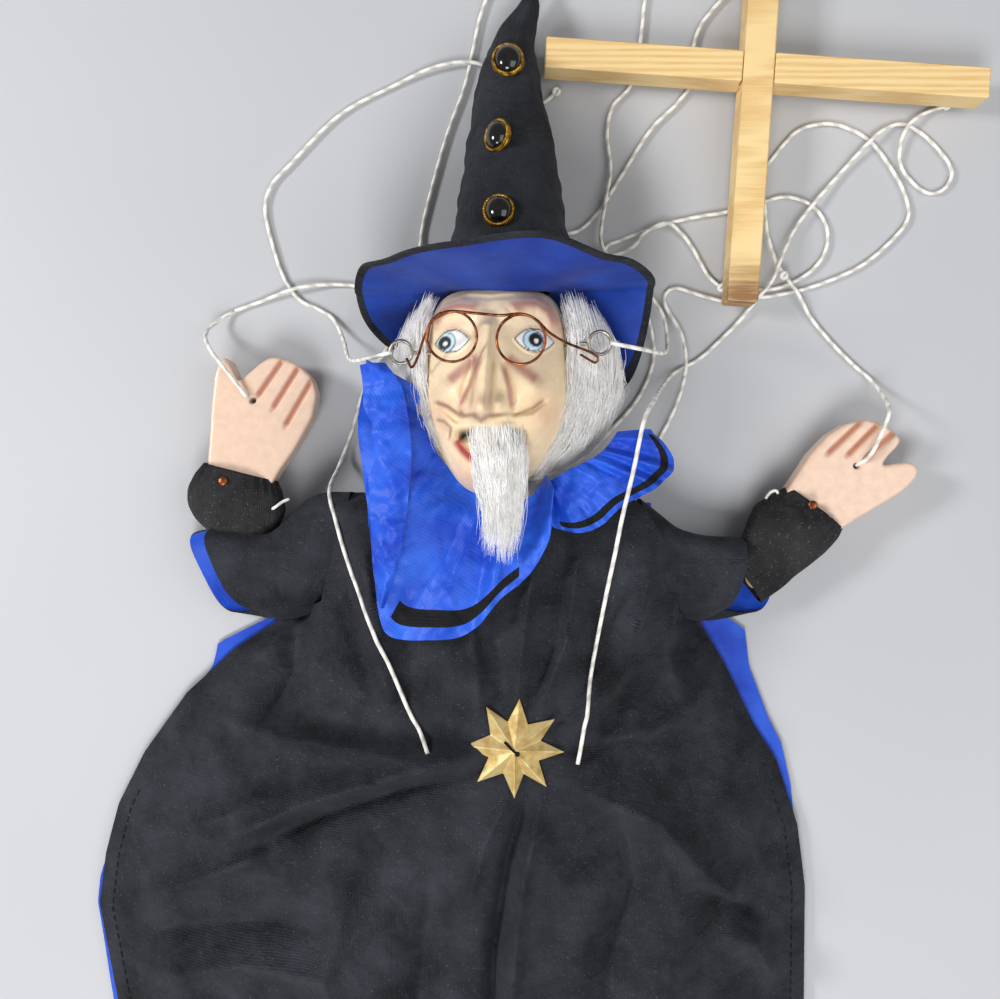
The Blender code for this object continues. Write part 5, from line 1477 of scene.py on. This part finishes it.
@dataclass
class Hat:
    """Pointed hat: wrinkled cone, two-coloured brim and three cabochon buttons."""

    finishes: Finishes
    stations: tuple = ((206.5, -3.0, 43.0, 27.4), (230.0, -2.6, 37.0, 25.2), (254.0, -2.4, 32.0, 22.3),
                       (277.0, -2.3, 27.0, 19.2), (298.0, -3.0, 22.0, 15.6), (315.0, -3.0, 18.5, 12.2),
                       (330.0, 0.2, 15.0, 8.8), (346.0, 6.2, 11.0, 4.9), (356.4, 8.0, 9.6, 1.2))
    brim_plane: float = 203.0
    brim_lean: float = 10.5
    brim_centre: Spot = (-5.0, 44.0)
    brim_inner: float = 19.5
    brim_outer: float = 64.0
    brim_droop: float = 36.0
    brim_tuck: float = 10.0
    brim_lowest: float = 10.8
    brim_top: float = 107.6
    brim_set: float = 3.6       # how far the brim's sides and back stand behind its front
    buttons: tuple = ((1, (-7.6, 236.8), 13.4, 15.6, -6.0), (2, (-8.0, 272.3), 12.4, 16.4, -32.0),
                      (3, (-3.6, 311.0), 14.6, 17.4, 0.0))
    button_lean: float = -17.0
    button_beads: int = 44
    bead_radius: float = 0.62
    binding: float = 0.915      # share of the brim's width where the black binding starts
    wall: float = 0.0011

    def sections(self, count: int) -> list[tuple[Vector, float]]:
        """Centres and radii of even sections up the cone, in millimetres."""
        centres = smooth_route([(cx, y, cz) for y, cx, cz, _ in self.stations], count)
        heights = [row[0] for row in self.stations]
        spans = [row[3] for row in self.stations]
        return [(centre, float(np.interp(centre.y, heights, spans))) for centre in centres]

    def cone(self) -> None:
        """Sew the cone: a bent tapered tube with creases round it."""
        around = 120
        shape = bmesh.new()
        rings = []
        for centre, radius in self.sections(120):
            ring = []
            for angle in angles(around):
                slack = min(1.0, radius / 8.0)
                crease = noise.noise((math.cos(angle) * 1.1, math.sin(angle) * 1.1, centre.y / 6.5)) * 0.9
                sag = noise.noise((math.cos(angle) * 2.0, math.sin(angle) * 2.0 + 4.0, centre.y / 17.0)) * 1.0
                reach = radius + (crease + sag) * slack
                spot = (centre.x + reach * math.cos(angle), centre.y,
                    max(0.9, centre.z + reach * math.sin(angle)))
                ring.append(shape.verts.new(Vector(spot) * MM))
            rings.append(ring)
        shape.faces.new(rings[-1])
        wall_round(shape, rings)
        piece = put("hat_cone_cloth", shape, self.finishes.black)
        fix(piece, Body.HEAD, "hat_cone")

    def brim_spot(self, angle: float, share: float) -> Vector:
        """A point of the brim's face: upright and leaning back in front, drooping behind the shoulders."""
        reach = self.brim_inner + (self.brim_outer - self.brim_inner) * share
        wave = 1.3 * math.sin(5 * angle + 0.7) * share + 0.8 * math.sin(9 * angle + 2.0) * share
        wave += 1.4 * share * noise.noise((3.0 * math.cos(angle), 3.0 * math.sin(angle), 2.2 * share))
        x = self.brim_centre[0] + reach * math.cos(angle)
        z = self.brim_centre[1] + reach * math.sin(angle)
        front = max(0.0, math.sin(angle))
        y = self.brim_plane + self.brim_set * (1 - front) + self.brim_lean * share * front ** 1.3 + wave
        if math.sin(angle) < 0:
            droop = self.brim_droop * abs(math.sin(2 * angle)) + self.brim_tuck * abs(math.sin(angle))
            y -= droop * share ** 1.5 * (1.0 if math.cos(angle) > 0 else 0.5)
            climb = self.brim_centre[1] - self.brim_inner - self.brim_lowest
            z = max(z, self.brim_lowest + climb * (1 - share) + 0.6 * wave)
        return Vector((x, y, min(z, self.brim_top))) * MM

    def brim(self) -> None:
        """Make the brim, blue beneath and black above, with a black binding round its edge."""
        around = 220
        across = 28
        shape = bmesh.new()
        rows = [[shape.verts.new(self.brim_spot(angle, step / across)) for angle in angles(around)]
            for step in range(across + 1)]
        for step, (low, high) in enumerate(zip(rows, rows[1:])):
            for k in range(around):
                nxt = (k + 1) % around
                face = shape.faces.new((low[k], high[k], high[nxt], low[nxt]))
                face.material_index = 1 if (step + 0.5) / across < self.binding else 0
        crisp_rim(shape)
        piece = put("hat_brim_cloth", shape, [self.finishes.black, self.finishes.brim])
        thicken(piece, self.wall, -1.0, -1)
        fix(piece, Body.HEAD, "hat_brim")

    def button(self, number: int, at: Spot, wide: float, tall: float, turn: float) -> None:
        """Seat one cabochon button on the cone.

        Args:
            number: The button's number from the brim up.
            at: Its place from above, in millimetres.
            wide: Width of its bezel.
            tall: Height of its bezel.
            turn: Turn to the side about the cone, in degrees.
        """
        heights = [row[0] for row in self.stations]
        cx, cz, radius = (float(np.interp(at[1], heights, [row[k] for row in self.stations]))
            for k in (1, 2, 3))
        z = cz + math.sqrt(max(0.0, (radius + 0.8) ** 2 - (at[0] - cx) ** 2))
        lean = Matrix.Rotation(math.radians(self.button_lean), 4, "X")
        tilt = Matrix.Rotation(math.radians(turn), 4, "Y")
        seat = Matrix.Translation(Vector((*at, z)) * MM) @ lean @ tilt
        shape = bmesh.new()
        bmesh.ops.create_cone(shape, cap_ends=True, segments=48, radius1=0.5, radius2=0.45, depth=1.0)
        bmesh.ops.scale(shape, vec=(wide * MM, tall * MM, 1.6 * MM), verts=shape.verts)
        for angle in angles(self.button_beads):
            place = Vector((math.cos(angle) * wide * 0.44, math.sin(angle) * tall * 0.44, 1.1))
            spot = Matrix.Translation(place * MM)
            twist = Matrix.Rotation(angle + 0.7, 4, "Z") @ Matrix.Diagonal((1.5, 0.8, 1.0, 1.0))
            bmesh.ops.create_uvsphere(shape, u_segments=10, v_segments=6, radius=self.bead_radius * MM,
                                      matrix=spot @ twist)
        bmesh.ops.transform(shape, matrix=seat, verts=shape.verts)
        bezel = put(f"rope_bezel_{number}", shape, self.finishes.gilt)
        fix(bezel, Body.HEAD, f"button_bezel_{number}")
        stone = bmesh.new()
        bmesh.ops.create_uvsphere(stone, u_segments=40, v_segments=24, radius=0.5)
        bmesh.ops.bisect_plane(stone, geom=stone.verts[:] + stone.edges[:] + stone.faces[:],
            plane_co=(0, 0, 0), plane_no=(0, 0, -1), clear_outer=True)
        bmesh.ops.scale(stone, vec=(wide * 0.80 * MM, tall * 0.80 * MM, 8.4 * MM), verts=stone.verts)
        bmesh.ops.translate(stone, vec=(0, 0, 0.7 * MM), verts=stone.verts)
        bmesh.ops.transform(stone, matrix=seat, verts=stone.verts)
        dome = put(f"cabochon_{number}", stone, self.finishes.cabochon)
        fix(dome, Body.HEAD, f"button_dome_{number}")

    def build(self) -> None:
        """Make the hat."""
        self.cone()
        self.brim()
        for button in self.buttons:
            self.button(*button)


@dataclass
class Collar:
    """Gathered ruffle round the neck, in three overlapping strips, with a ribbon sewn near its edge."""

    finishes: Finishes
    # Inner and outer edge points of each strip, left end first, in millimetres
    bib: tuple = (((-38, 163, 52), (-62, 175, 60)), ((-37, 150, 52), (-64, 150, 62)),
        ((-34, 138, 51), (-63, 128, 62)), ((-28, 130, 49), (-62, 105, 60)),
        ((-22, 124, 47), (-60, 82, 57)), ((-17, 120, 46), (-55, 61, 54)), ((-11, 118, 46), (-36, 60, 55)),
        ((-5, 117, 46), (-21, 62, 56)), ((1, 117, 46), (-7, 75.5, 57)), ((6, 119, 47), (5.4, 86, 59)),
        ((9, 122, 49), (13.5, 101, 60)), ((12, 128, 52), (15, 121, 62)))
    wing: tuple = (((8, 122, 50), (15, 106, 52)), ((15, 126, 53), (26, 104.5, 53)),
        ((20, 129, 56), (37, 107, 55)), ((26, 132, 58), (46, 115, 57)), ((32, 135, 58), (56, 122, 56)),
        ((37, 139, 57), (66, 131, 55)), ((40, 143, 56), (64, 139, 55)), ((42, 146, 54), (56, 147, 54)))
    fold: tuple = (((-54.5, 174, 62), (-65, 173, 60)), ((-48, 165, 63), (-63.5, 166, 61)),
                   ((-45.5, 156, 64), (-62.5, 158, 62)), ((-43.4, 136, 64), (-61, 138, 62)),
                   ((-46, 109, 62), (-61.6, 113, 61)), ((-49.5, 90, 60), (-60.4, 93, 59)),
                   ((-55.5, 72, 56), (-57.5, 73, 56)))
    columns: int = 190
    rows: int = 34
    wall: float = 0.0008
    braid: Spot = (0.80, 0.90)       # share of a strip's depth that the ribbon covers
    neck_low: Point = (-0.008, 0.106, 0.05)
    neck_high: Point = (-0.008, 0.144, 0.05)

    def strip(self, shape: bmesh.types.BMesh, pairs: tuple, waves: int, depth: float, ribbon: tuple) -> None:
        """Lay one ruffled strip into a bmesh.

        Args:
            shape: The bmesh that takes the strip.
            pairs: Inner and outer edge points.
            waves: Number of gathers along it.
            depth: Depth of a gather at the outer edge, in millimetres.
            ribbon: First and last share along the strip that carries the ribbon.
        """
        inner = smooth_route([pair[0] for pair in pairs], self.columns)
        outer = smooth_route([pair[1] for pair in pairs], self.columns)
        grid = []
        for step in range(self.rows + 1):
            share = step / self.rows
            row = []
            for k, (a, b) in enumerate(zip(inner, outer)):
                along = k / (self.columns - 1)
                spot = a.lerp(b, share)
                pleat = math.sin(2 * math.pi * waves * along + 3.4 * math.sin(9 * along) + 1.6 * share)
                pleat *= 0.55 + 0.75 * abs(noise.noise((6.0 * along, 0.8 * share, 3.0)))
                pleat += 0.7 * noise.noise((17.0 * along, 1.6 * share, 1.0))
                fine = noise.noise((spot.x / 9.0, spot.y / 9.0, share))
                fine += noise.noise((spot.x / 4.0, spot.y / 4.0, 8.0)) * 0.5
                spot.z += depth * pleat * (0.35 + 0.65 * share) + 1.6 * fine + 2.6 * math.sin(math.pi * share)
                spot += (b - a).normalized() * 1.2 * math.sin(math.pi * waves * along) * share
                row.append(shape.verts.new(spot * MM))
            grid.append(row)
        for step, (low, high) in enumerate(zip(grid, grid[1:])):
            for k in range(self.columns - 1):
                face = shape.faces.new((low[k], low[k + 1], high[k + 1], high[k]))
                share = (step + 0.5) / self.rows
                inside = ribbon[0] < k / self.columns < ribbon[1]
                face.material_index = 1 if inside and self.braid[0] < share < self.braid[1] else 0

    def build(self) -> None:
        """Make the collar."""
        for name, pairs, waves, depth, ribbon, wide in (
                ("collar_bib", self.bib, 4, 3.4, (0.50, 0.80), 0.27),
                ("collar_fold", self.fold, 2, 1.2, (2.0, 3.0), 0.11),
                ("collar_wing", self.wing, 4, 3.2, (0.05, 0.95), 0.11)):
            shape = bmesh.new()
            self.strip(shape, pairs, waves, depth, ribbon)
            bmesh.ops.recalc_face_normals(shape, faces=shape.faces[:])
            if sum(face.normal.z for face in shape.faces) < 0:
                bmesh.ops.reverse_faces(shape, faces=shape.faces[:])
            crisp_rim(shape)
            piece = thicken(put(name, shape, [self.finishes.collar, self.finishes.ribbon]), self.wall)
            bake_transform(piece)
            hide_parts("collar")


@dataclass(frozen=True)
class ArmForm:
    """Shapes of one arm seen from above, in millimetres."""

    side: Side
    hand: tuple[Spot, ...]
    grooves: tuple[tuple[Spot, Spot], ...]
    hole: Spot
    cuff: tuple[tuple[Point, Point, float], ...]        # left and right point of each section, half depth
    tack: Spot
    stub: tuple[Point, ...]
    upper_edge: tuple[Spot, ...]
    lower_edge: tuple[Spot, ...]
    outward: Spot
    band: float                                          # how far the lined back of the mouth shows
    bulge: float                                         # how far the front of the mouth bows out


ARMS = (
    ArmForm(
        Side.LEFT,
        hand=((-140.2, 134.5), (-139.2, 147), (-138.5, 160), (-136.8, 175), (-134.8, 180.2), (-132, 182.1),
            (-129.8, 180.6), (-128.2, 176.5), (-126.2, 171), (-122.4, 174.4), (-115.9, 179.8),
            (-111.5, 182.3), (-106.5, 182), (-98.5, 178.6), (-93.0, 173.4), (-90.3, 166), (-92.2, 155.4),
            (-100.3, 140.6), (-107.6, 130.4), (-113, 121), (-118, 116), (-136, 118)),
        grooves=(((-105.5, 181.5), (-117.6, 164.1)), ((-98.1, 178.5), (-110.7, 158.4)),
            ((-92.4, 172.2), (-105, 150.6))),
        hole=(-119.4, 162.5),
        cuff=(((-143, 134.5), (-109.6, 126.0), 9.6), ((-147.6, 128), (-107.4, 119.5), 11.6),
            ((-150.6, 120), (-106.4, 112), 12.2), ((-147.6, 110), (-109.6, 104), 9.6),
            ((-138, 100), (-113, 95), 7.4), ((-130, 88), (-117, 84), 6.0)),
        tack=(-131.6, 125.7),
        stub=((-112.4, 112.6, 19), (-109.6, 113.6, 21), (-106.0, 116.2, 21), (-102.9, 117.8, 19.5)),
        upper_edge=((-74, 121), (-88, 120.4), (-97.7, 114.5), (-103, 109), (-112, 102.2), (-124, 102.6),
            (-136, 104.8)),
        lower_edge=((-74, 70), (-86, 67), (-96, 64), (-103, 62.5), (-108, 62.5), (-113, 64.5),
            (-117.5, 66.5)),
        outward=(-0.96, -0.16),
        band=21.0,
        bulge=7.0,
    ),
    ArmForm(
        Side.RIGHT,
        hand=((123.4, 121.7), (127.6, 128), (134.5, 138.4), (142.8, 147.3), (150.5, 152.1), (159.5, 153.9),
            (165.8, 152.4), (172.7, 148.2), (175.4, 144.5), (173.6, 141.4), (169.9, 137.9), (166.4, 132.8),
            (172.7, 133.9), (179.2, 134.6), (182.4, 133.0), (183.3, 130.4), (182.0, 127.0), (176.2, 121),
            (162.3, 112.7), (149.5, 105), (140, 98), (122, 112)),
        grooves=(((157.8, 153.5), (141.5, 138)), ((165.4, 152), (150.5, 137.3)),
            ((172.4, 148.5), (159.5, 136.3))),
        hole=(155.0, 132.8),
        cuff=(((124.6, 123.2), (149.8, 103.8), 9.6), ((119.0, 119.8), (147.0, 99.0), 11.6),
            ((111.0, 115.0), (141.0, 92.5), 12.2), ((107.4, 108.0), (133.0, 86.2), 9.6),
            ((104.0, 100.0), (124, 78.6), 8.6), ((97, 92), (113, 70), 7.6)),
        tack=(133.4, 115.0),
        stub=((120.6, 119.6, 16), (118.8, 121.6, 17), (116.2, 120.6, 17), (114.4, 118.0, 16)),
        upper_edge=((56, 118), (65, 111), (72, 105.5), (79, 102.6), (86, 101.2), (94, 100.6), (101, 100.4)),
        lower_edge=((56, 70), (64, 67), (71, 64), (78, 62), (84, 61.5), (89, 63), (94, 66.5)),
        outward=(0.98, -0.14),
        band=25.0,
        bulge=4.0,
    ),
)


@dataclass
class Arm:
    """One arm: carved hand, tacked cuff, cord stub and wide lined sleeve."""

    finishes: Finishes
    nodes: dict[str, bpy.types.Object]
    form: ArmForm
    hand_middle: float = 13.5
    hand_half: float = 6.2
    voxel: float = 0.55
    sleeve_half: float = 15.0
    wall: float = 0.0009
    wrist: float = 13.2             # height of the wrist's middle over the table
    tack_rise: float = 11.4
    cuff_flat: float = 0.12
    sleeve_flat: float = 0.115
    flesh: str = "#dfc0a9"
    groove_paint: str = "#b06a4e"
    # Dark brown inside the string hole: painted shade
    hole_shade: str = "#5b4632"

    @property
    def word(self) -> str:
        """Name of this arm's side."""
        return self.form.side.word

    def body(self, part: str) -> Body:
        """A body of this arm."""
        return Body(f"{part}_{self.word}")

    def hand(self) -> None:
        """Carve the hand: a rounded slab with three finger grooves, a string hole and brushed paint."""
        shape = bmesh.new()
        low = (self.hand_middle - self.hand_half) * MM
        base = [shape.verts.new((x * MM, y * MM, low)) for x, y in self.form.hand]
        face = shape.faces.new(base)
        if face.normal.z > 0:
            face.normal_flip()
        raised = bmesh.ops.extrude_face_region(shape, geom=[face])
        tops = [item for item in raised["geom"] if isinstance(item, bmesh.types.BMVert)]
        bmesh.ops.translate(shape, vec=(0, 0, 2 * self.hand_half * MM), verts=tops)
        bmesh.ops.recalc_face_normals(shape, faces=shape.faces[:])
        blank = put("hand_blank", shape, self.finishes.hands)
        remesh = blank.modifiers.new("fine", "REMESH")
        remesh.mode = "VOXEL"
        remesh.voxel_size = self.voxel * MM
        bpy.context.view_layer.update()
        mesh = bpy.data.meshes.new_from_object(blank.evaluated_get(bpy.context.evaluated_depsgraph_get()))
        bpy.data.objects.remove(blank)
        carved = bmesh.new()
        carved.from_mesh(mesh)
        for _ in range(16):
            bmesh.ops.smooth_vert(carved, verts=carved.verts[:], factor=0.5, use_axis_x=True, use_axis_y=True,
                                  use_axis_z=True)
        spots = np.array([tuple(vert.co) for vert in carved.verts]) / MM
        top = np.clip((spots[:, 2] - self.hand_middle) / 3.0, 0.0, 1.0)
        cut = sum(stroke(spots[:, 0], spots[:, 1], line, 1.15) for line in self.form.grooves)
        hole = disc(spots[:, 0], spots[:, 1], self.form.hole, 1.25, 0.9)
        drop = (1.5 * np.clip(cut, 0, 1) + 3.0 * hole) * top
        for vert, depth in zip(carved.verts, drop):
            vert.co.z -= float(depth) * MM
        piece = put(f"carved_hand_{self.word}", carved, self.finishes.hands)
        bpy.data.meshes.remove(mesh)
        # The string hole is painted dark brown as its shade.
        coats = ((np.clip(cut * 0.95, 0, 1) * top, self.groove_paint), (hole * top, self.hole_shade))
        paint(piece, layered(self.flesh, len(spots), coats))
        fix(piece, self.body("lower_arm"), f"hand_{self.word}")

    def cuff(self) -> None:
        """Gather the dusty cuff round the wrist, tack it and leave the end of its draw cord out."""
        around = 96
        steps = 40
        lefts = smooth_route([(*a, 0.0) for a, _, _ in self.form.cuff], steps)
        rights = smooth_route([(*b, 0.0) for _, b, _ in self.form.cuff], steps)
        depths = np.interp(np.linspace(0, 1, steps), np.linspace(0, 1, len(self.form.cuff)),
                           [row[2] for row in self.form.cuff])
        shape = bmesh.new()
        rings = []
        for step, (a, b, depth) in enumerate(zip(lefts, rights, depths)):
            middle = (a + b) / 2
            half = (b - a) / 2
            gather = math.exp(-((step - 3) / 4.0) ** 2)
            ring = []
            for angle in angles(around):
                dent = noise.noise((math.cos(angle) * 2.2, math.sin(angle) * 2.2 + step / 6.0, 5.0))
                ruck = 0.55 * gather * math.sin(23 * angle) + 0.9 * dent
                across = eased(math.cos(angle), 0.8)
                spot = middle + half * across * (1 + ruck / 40)
                rise = eased(math.sin(angle), 0.8)
                spot.z = max(1.1, self.wrist + (depth + ruck) * rise)
                ring.append(shape.verts.new(spot * MM))
            rings.append(ring)
        wall_round(shape, rings)
        piece = thicken(put(f"gathered_cuff_{self.word}", shape, self.finishes.dusty), self.wall)
        fix(piece, self.body("lower_arm"), f"cuff_{self.word}")
        f"hand_{self.word}"
        tack = bmesh.new()
        seat = Vector((*self.form.tack, self.wrist + self.tack_rise)) * MM
        bmesh.ops.create_uvsphere(tack, u_segments=24, v_segments=12, radius=2.1 * MM)
        bmesh.ops.scale(tack, vec=(1, 1, 0.36), verts=tack.verts)
        bmesh.ops.translate(tack, vec=seat, verts=tack.verts)
        head = put(f"copper_tack_{self.word}", tack, self.finishes.copper)
        fix(head, self.body("lower_arm"), f"cuff_tack_{self.word}")
        stub = bmesh.new()
        tube(stub, smooth_route([tuple(Vector(p) * MM) for p in self.form.stub], 16), 0.0007, 8)
        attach(put(f"cuff_draw_cord_{self.word}", stub, self.finishes.cord), self.body("lower_arm"))

    def sleeve(self) -> None:
        """Sew the sleeve: a flat wide tube whose lined back shows past its front at the mouth."""
        around = 110
        steps = 56
        upper = smooth_route([(x, y, 0.0) for x, y in self.form.upper_edge], steps)
        lower = smooth_route([(x, y, 0.0) for x, y in self.form.lower_edge], steps)
        out = Vector((*self.form.outward, 0.0))
        shape = bmesh.new()
        rings = []
        for step, (a, b) in enumerate(zip(upper, lower)):
            share = step / (steps - 1)
            middle = (a + b) / 2
            half = (a - b) / 2
            depth = self.sleeve_half * (1.16 - 0.26 * share)
            ring = []
            for angle in angles(around):
                front = math.sin(angle)
                across = eased(math.cos(angle), 0.72)
                spot = middle + half * across
                ruck = 1.5 * noise.noise((spot.x / 16.0, spot.y / 16.0, 2.0))
                ruck += 0.8 * noise.noise((spot.x / 7.0, spot.y / 7.0, 9.0))
                crest = 1.1 if front > 0 and math.cos(angle) < 0 else 0.6
                seam = 2.2 + depth * (1 - 0.55 * max(0.0, -across) ** 2)
                lift = depth if front > 0 else seam - 2.2
                spot.z = seam + lift * eased(front, crest) + ruck * max(0.0, front)
                if front > 0:
                    spot += out * self.form.bulge * front ** 0.6 * share ** 3
                if front < 0:
                    spot += out * self.form.band * abs(front) ** 0.35 * share ** 3
                    spot.z += 2.0 * share ** 4 * abs(math.cos(angle))
                spot.z = max(1.0, spot.z)
                ring.append(shape.verts.new(spot * MM))
            rings.append(ring)
        wall_round(shape, rings)
        crisp_rim(shape)
        piece = put(f"lined_sleeve_{self.word}", shape, [self.finishes.black, self.finishes.blue])
        thicken(piece, self.wall, -1.0, 1)
        self.body("arm")
        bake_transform(piece)
        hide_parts(f"sleeve_{self.word}")
        f"upper_arm_{self.word}"

    def build(self) -> None:
        """Make the arm's pieces."""
        self.hand()
        self.cuff()
        self.sleeve()
        dress(self.nodes, self.finishes.lime, "lime_wood", f"upper_arm_{self.word}", f"forearm_{self.word}",
              f"shoulder_peg_{self.word}")


@dataclass
class Legs:
    """Jointed wooden legs and boots, which the robe hides from the front."""

    finishes: Finishes
    nodes: dict[str, bpy.types.Object]

    def build(self) -> None:
        """Dress the body block, the legs and the boots."""
        dress(self.nodes, self.finishes.lime, "lime_wood", "torso_block")
        for side in Side:
            dress(self.nodes, self.finishes.lime, "lime_wood", f"thigh_{side.word}", f"shin_{side.word}")
            dress(self.nodes, self.finishes.leather, "boot_leather", f"boot_{side.word}")


def main() -> None:
    """Build the puppet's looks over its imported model."""
    logging.basicConfig(level=logging.INFO, format="%(name)s %(message)s")
    for leftover in list(bpy.data.objects):
        bpy.data.objects.remove(leftover)
    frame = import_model()
    finishes = Finishes()
    nodes = frame["nodes"]
    Studio().build()
    Control(finishes, nodes).build()
    Robe(finishes).build()
    Head(finishes, nodes).build()
    Hat(finishes).build()
    Collar(finishes).build()
    for form in ARMS:
        Arm(finishes, nodes, form).build()
    Legs(finishes, nodes).build()


if __name__ == "__main__":
    main()
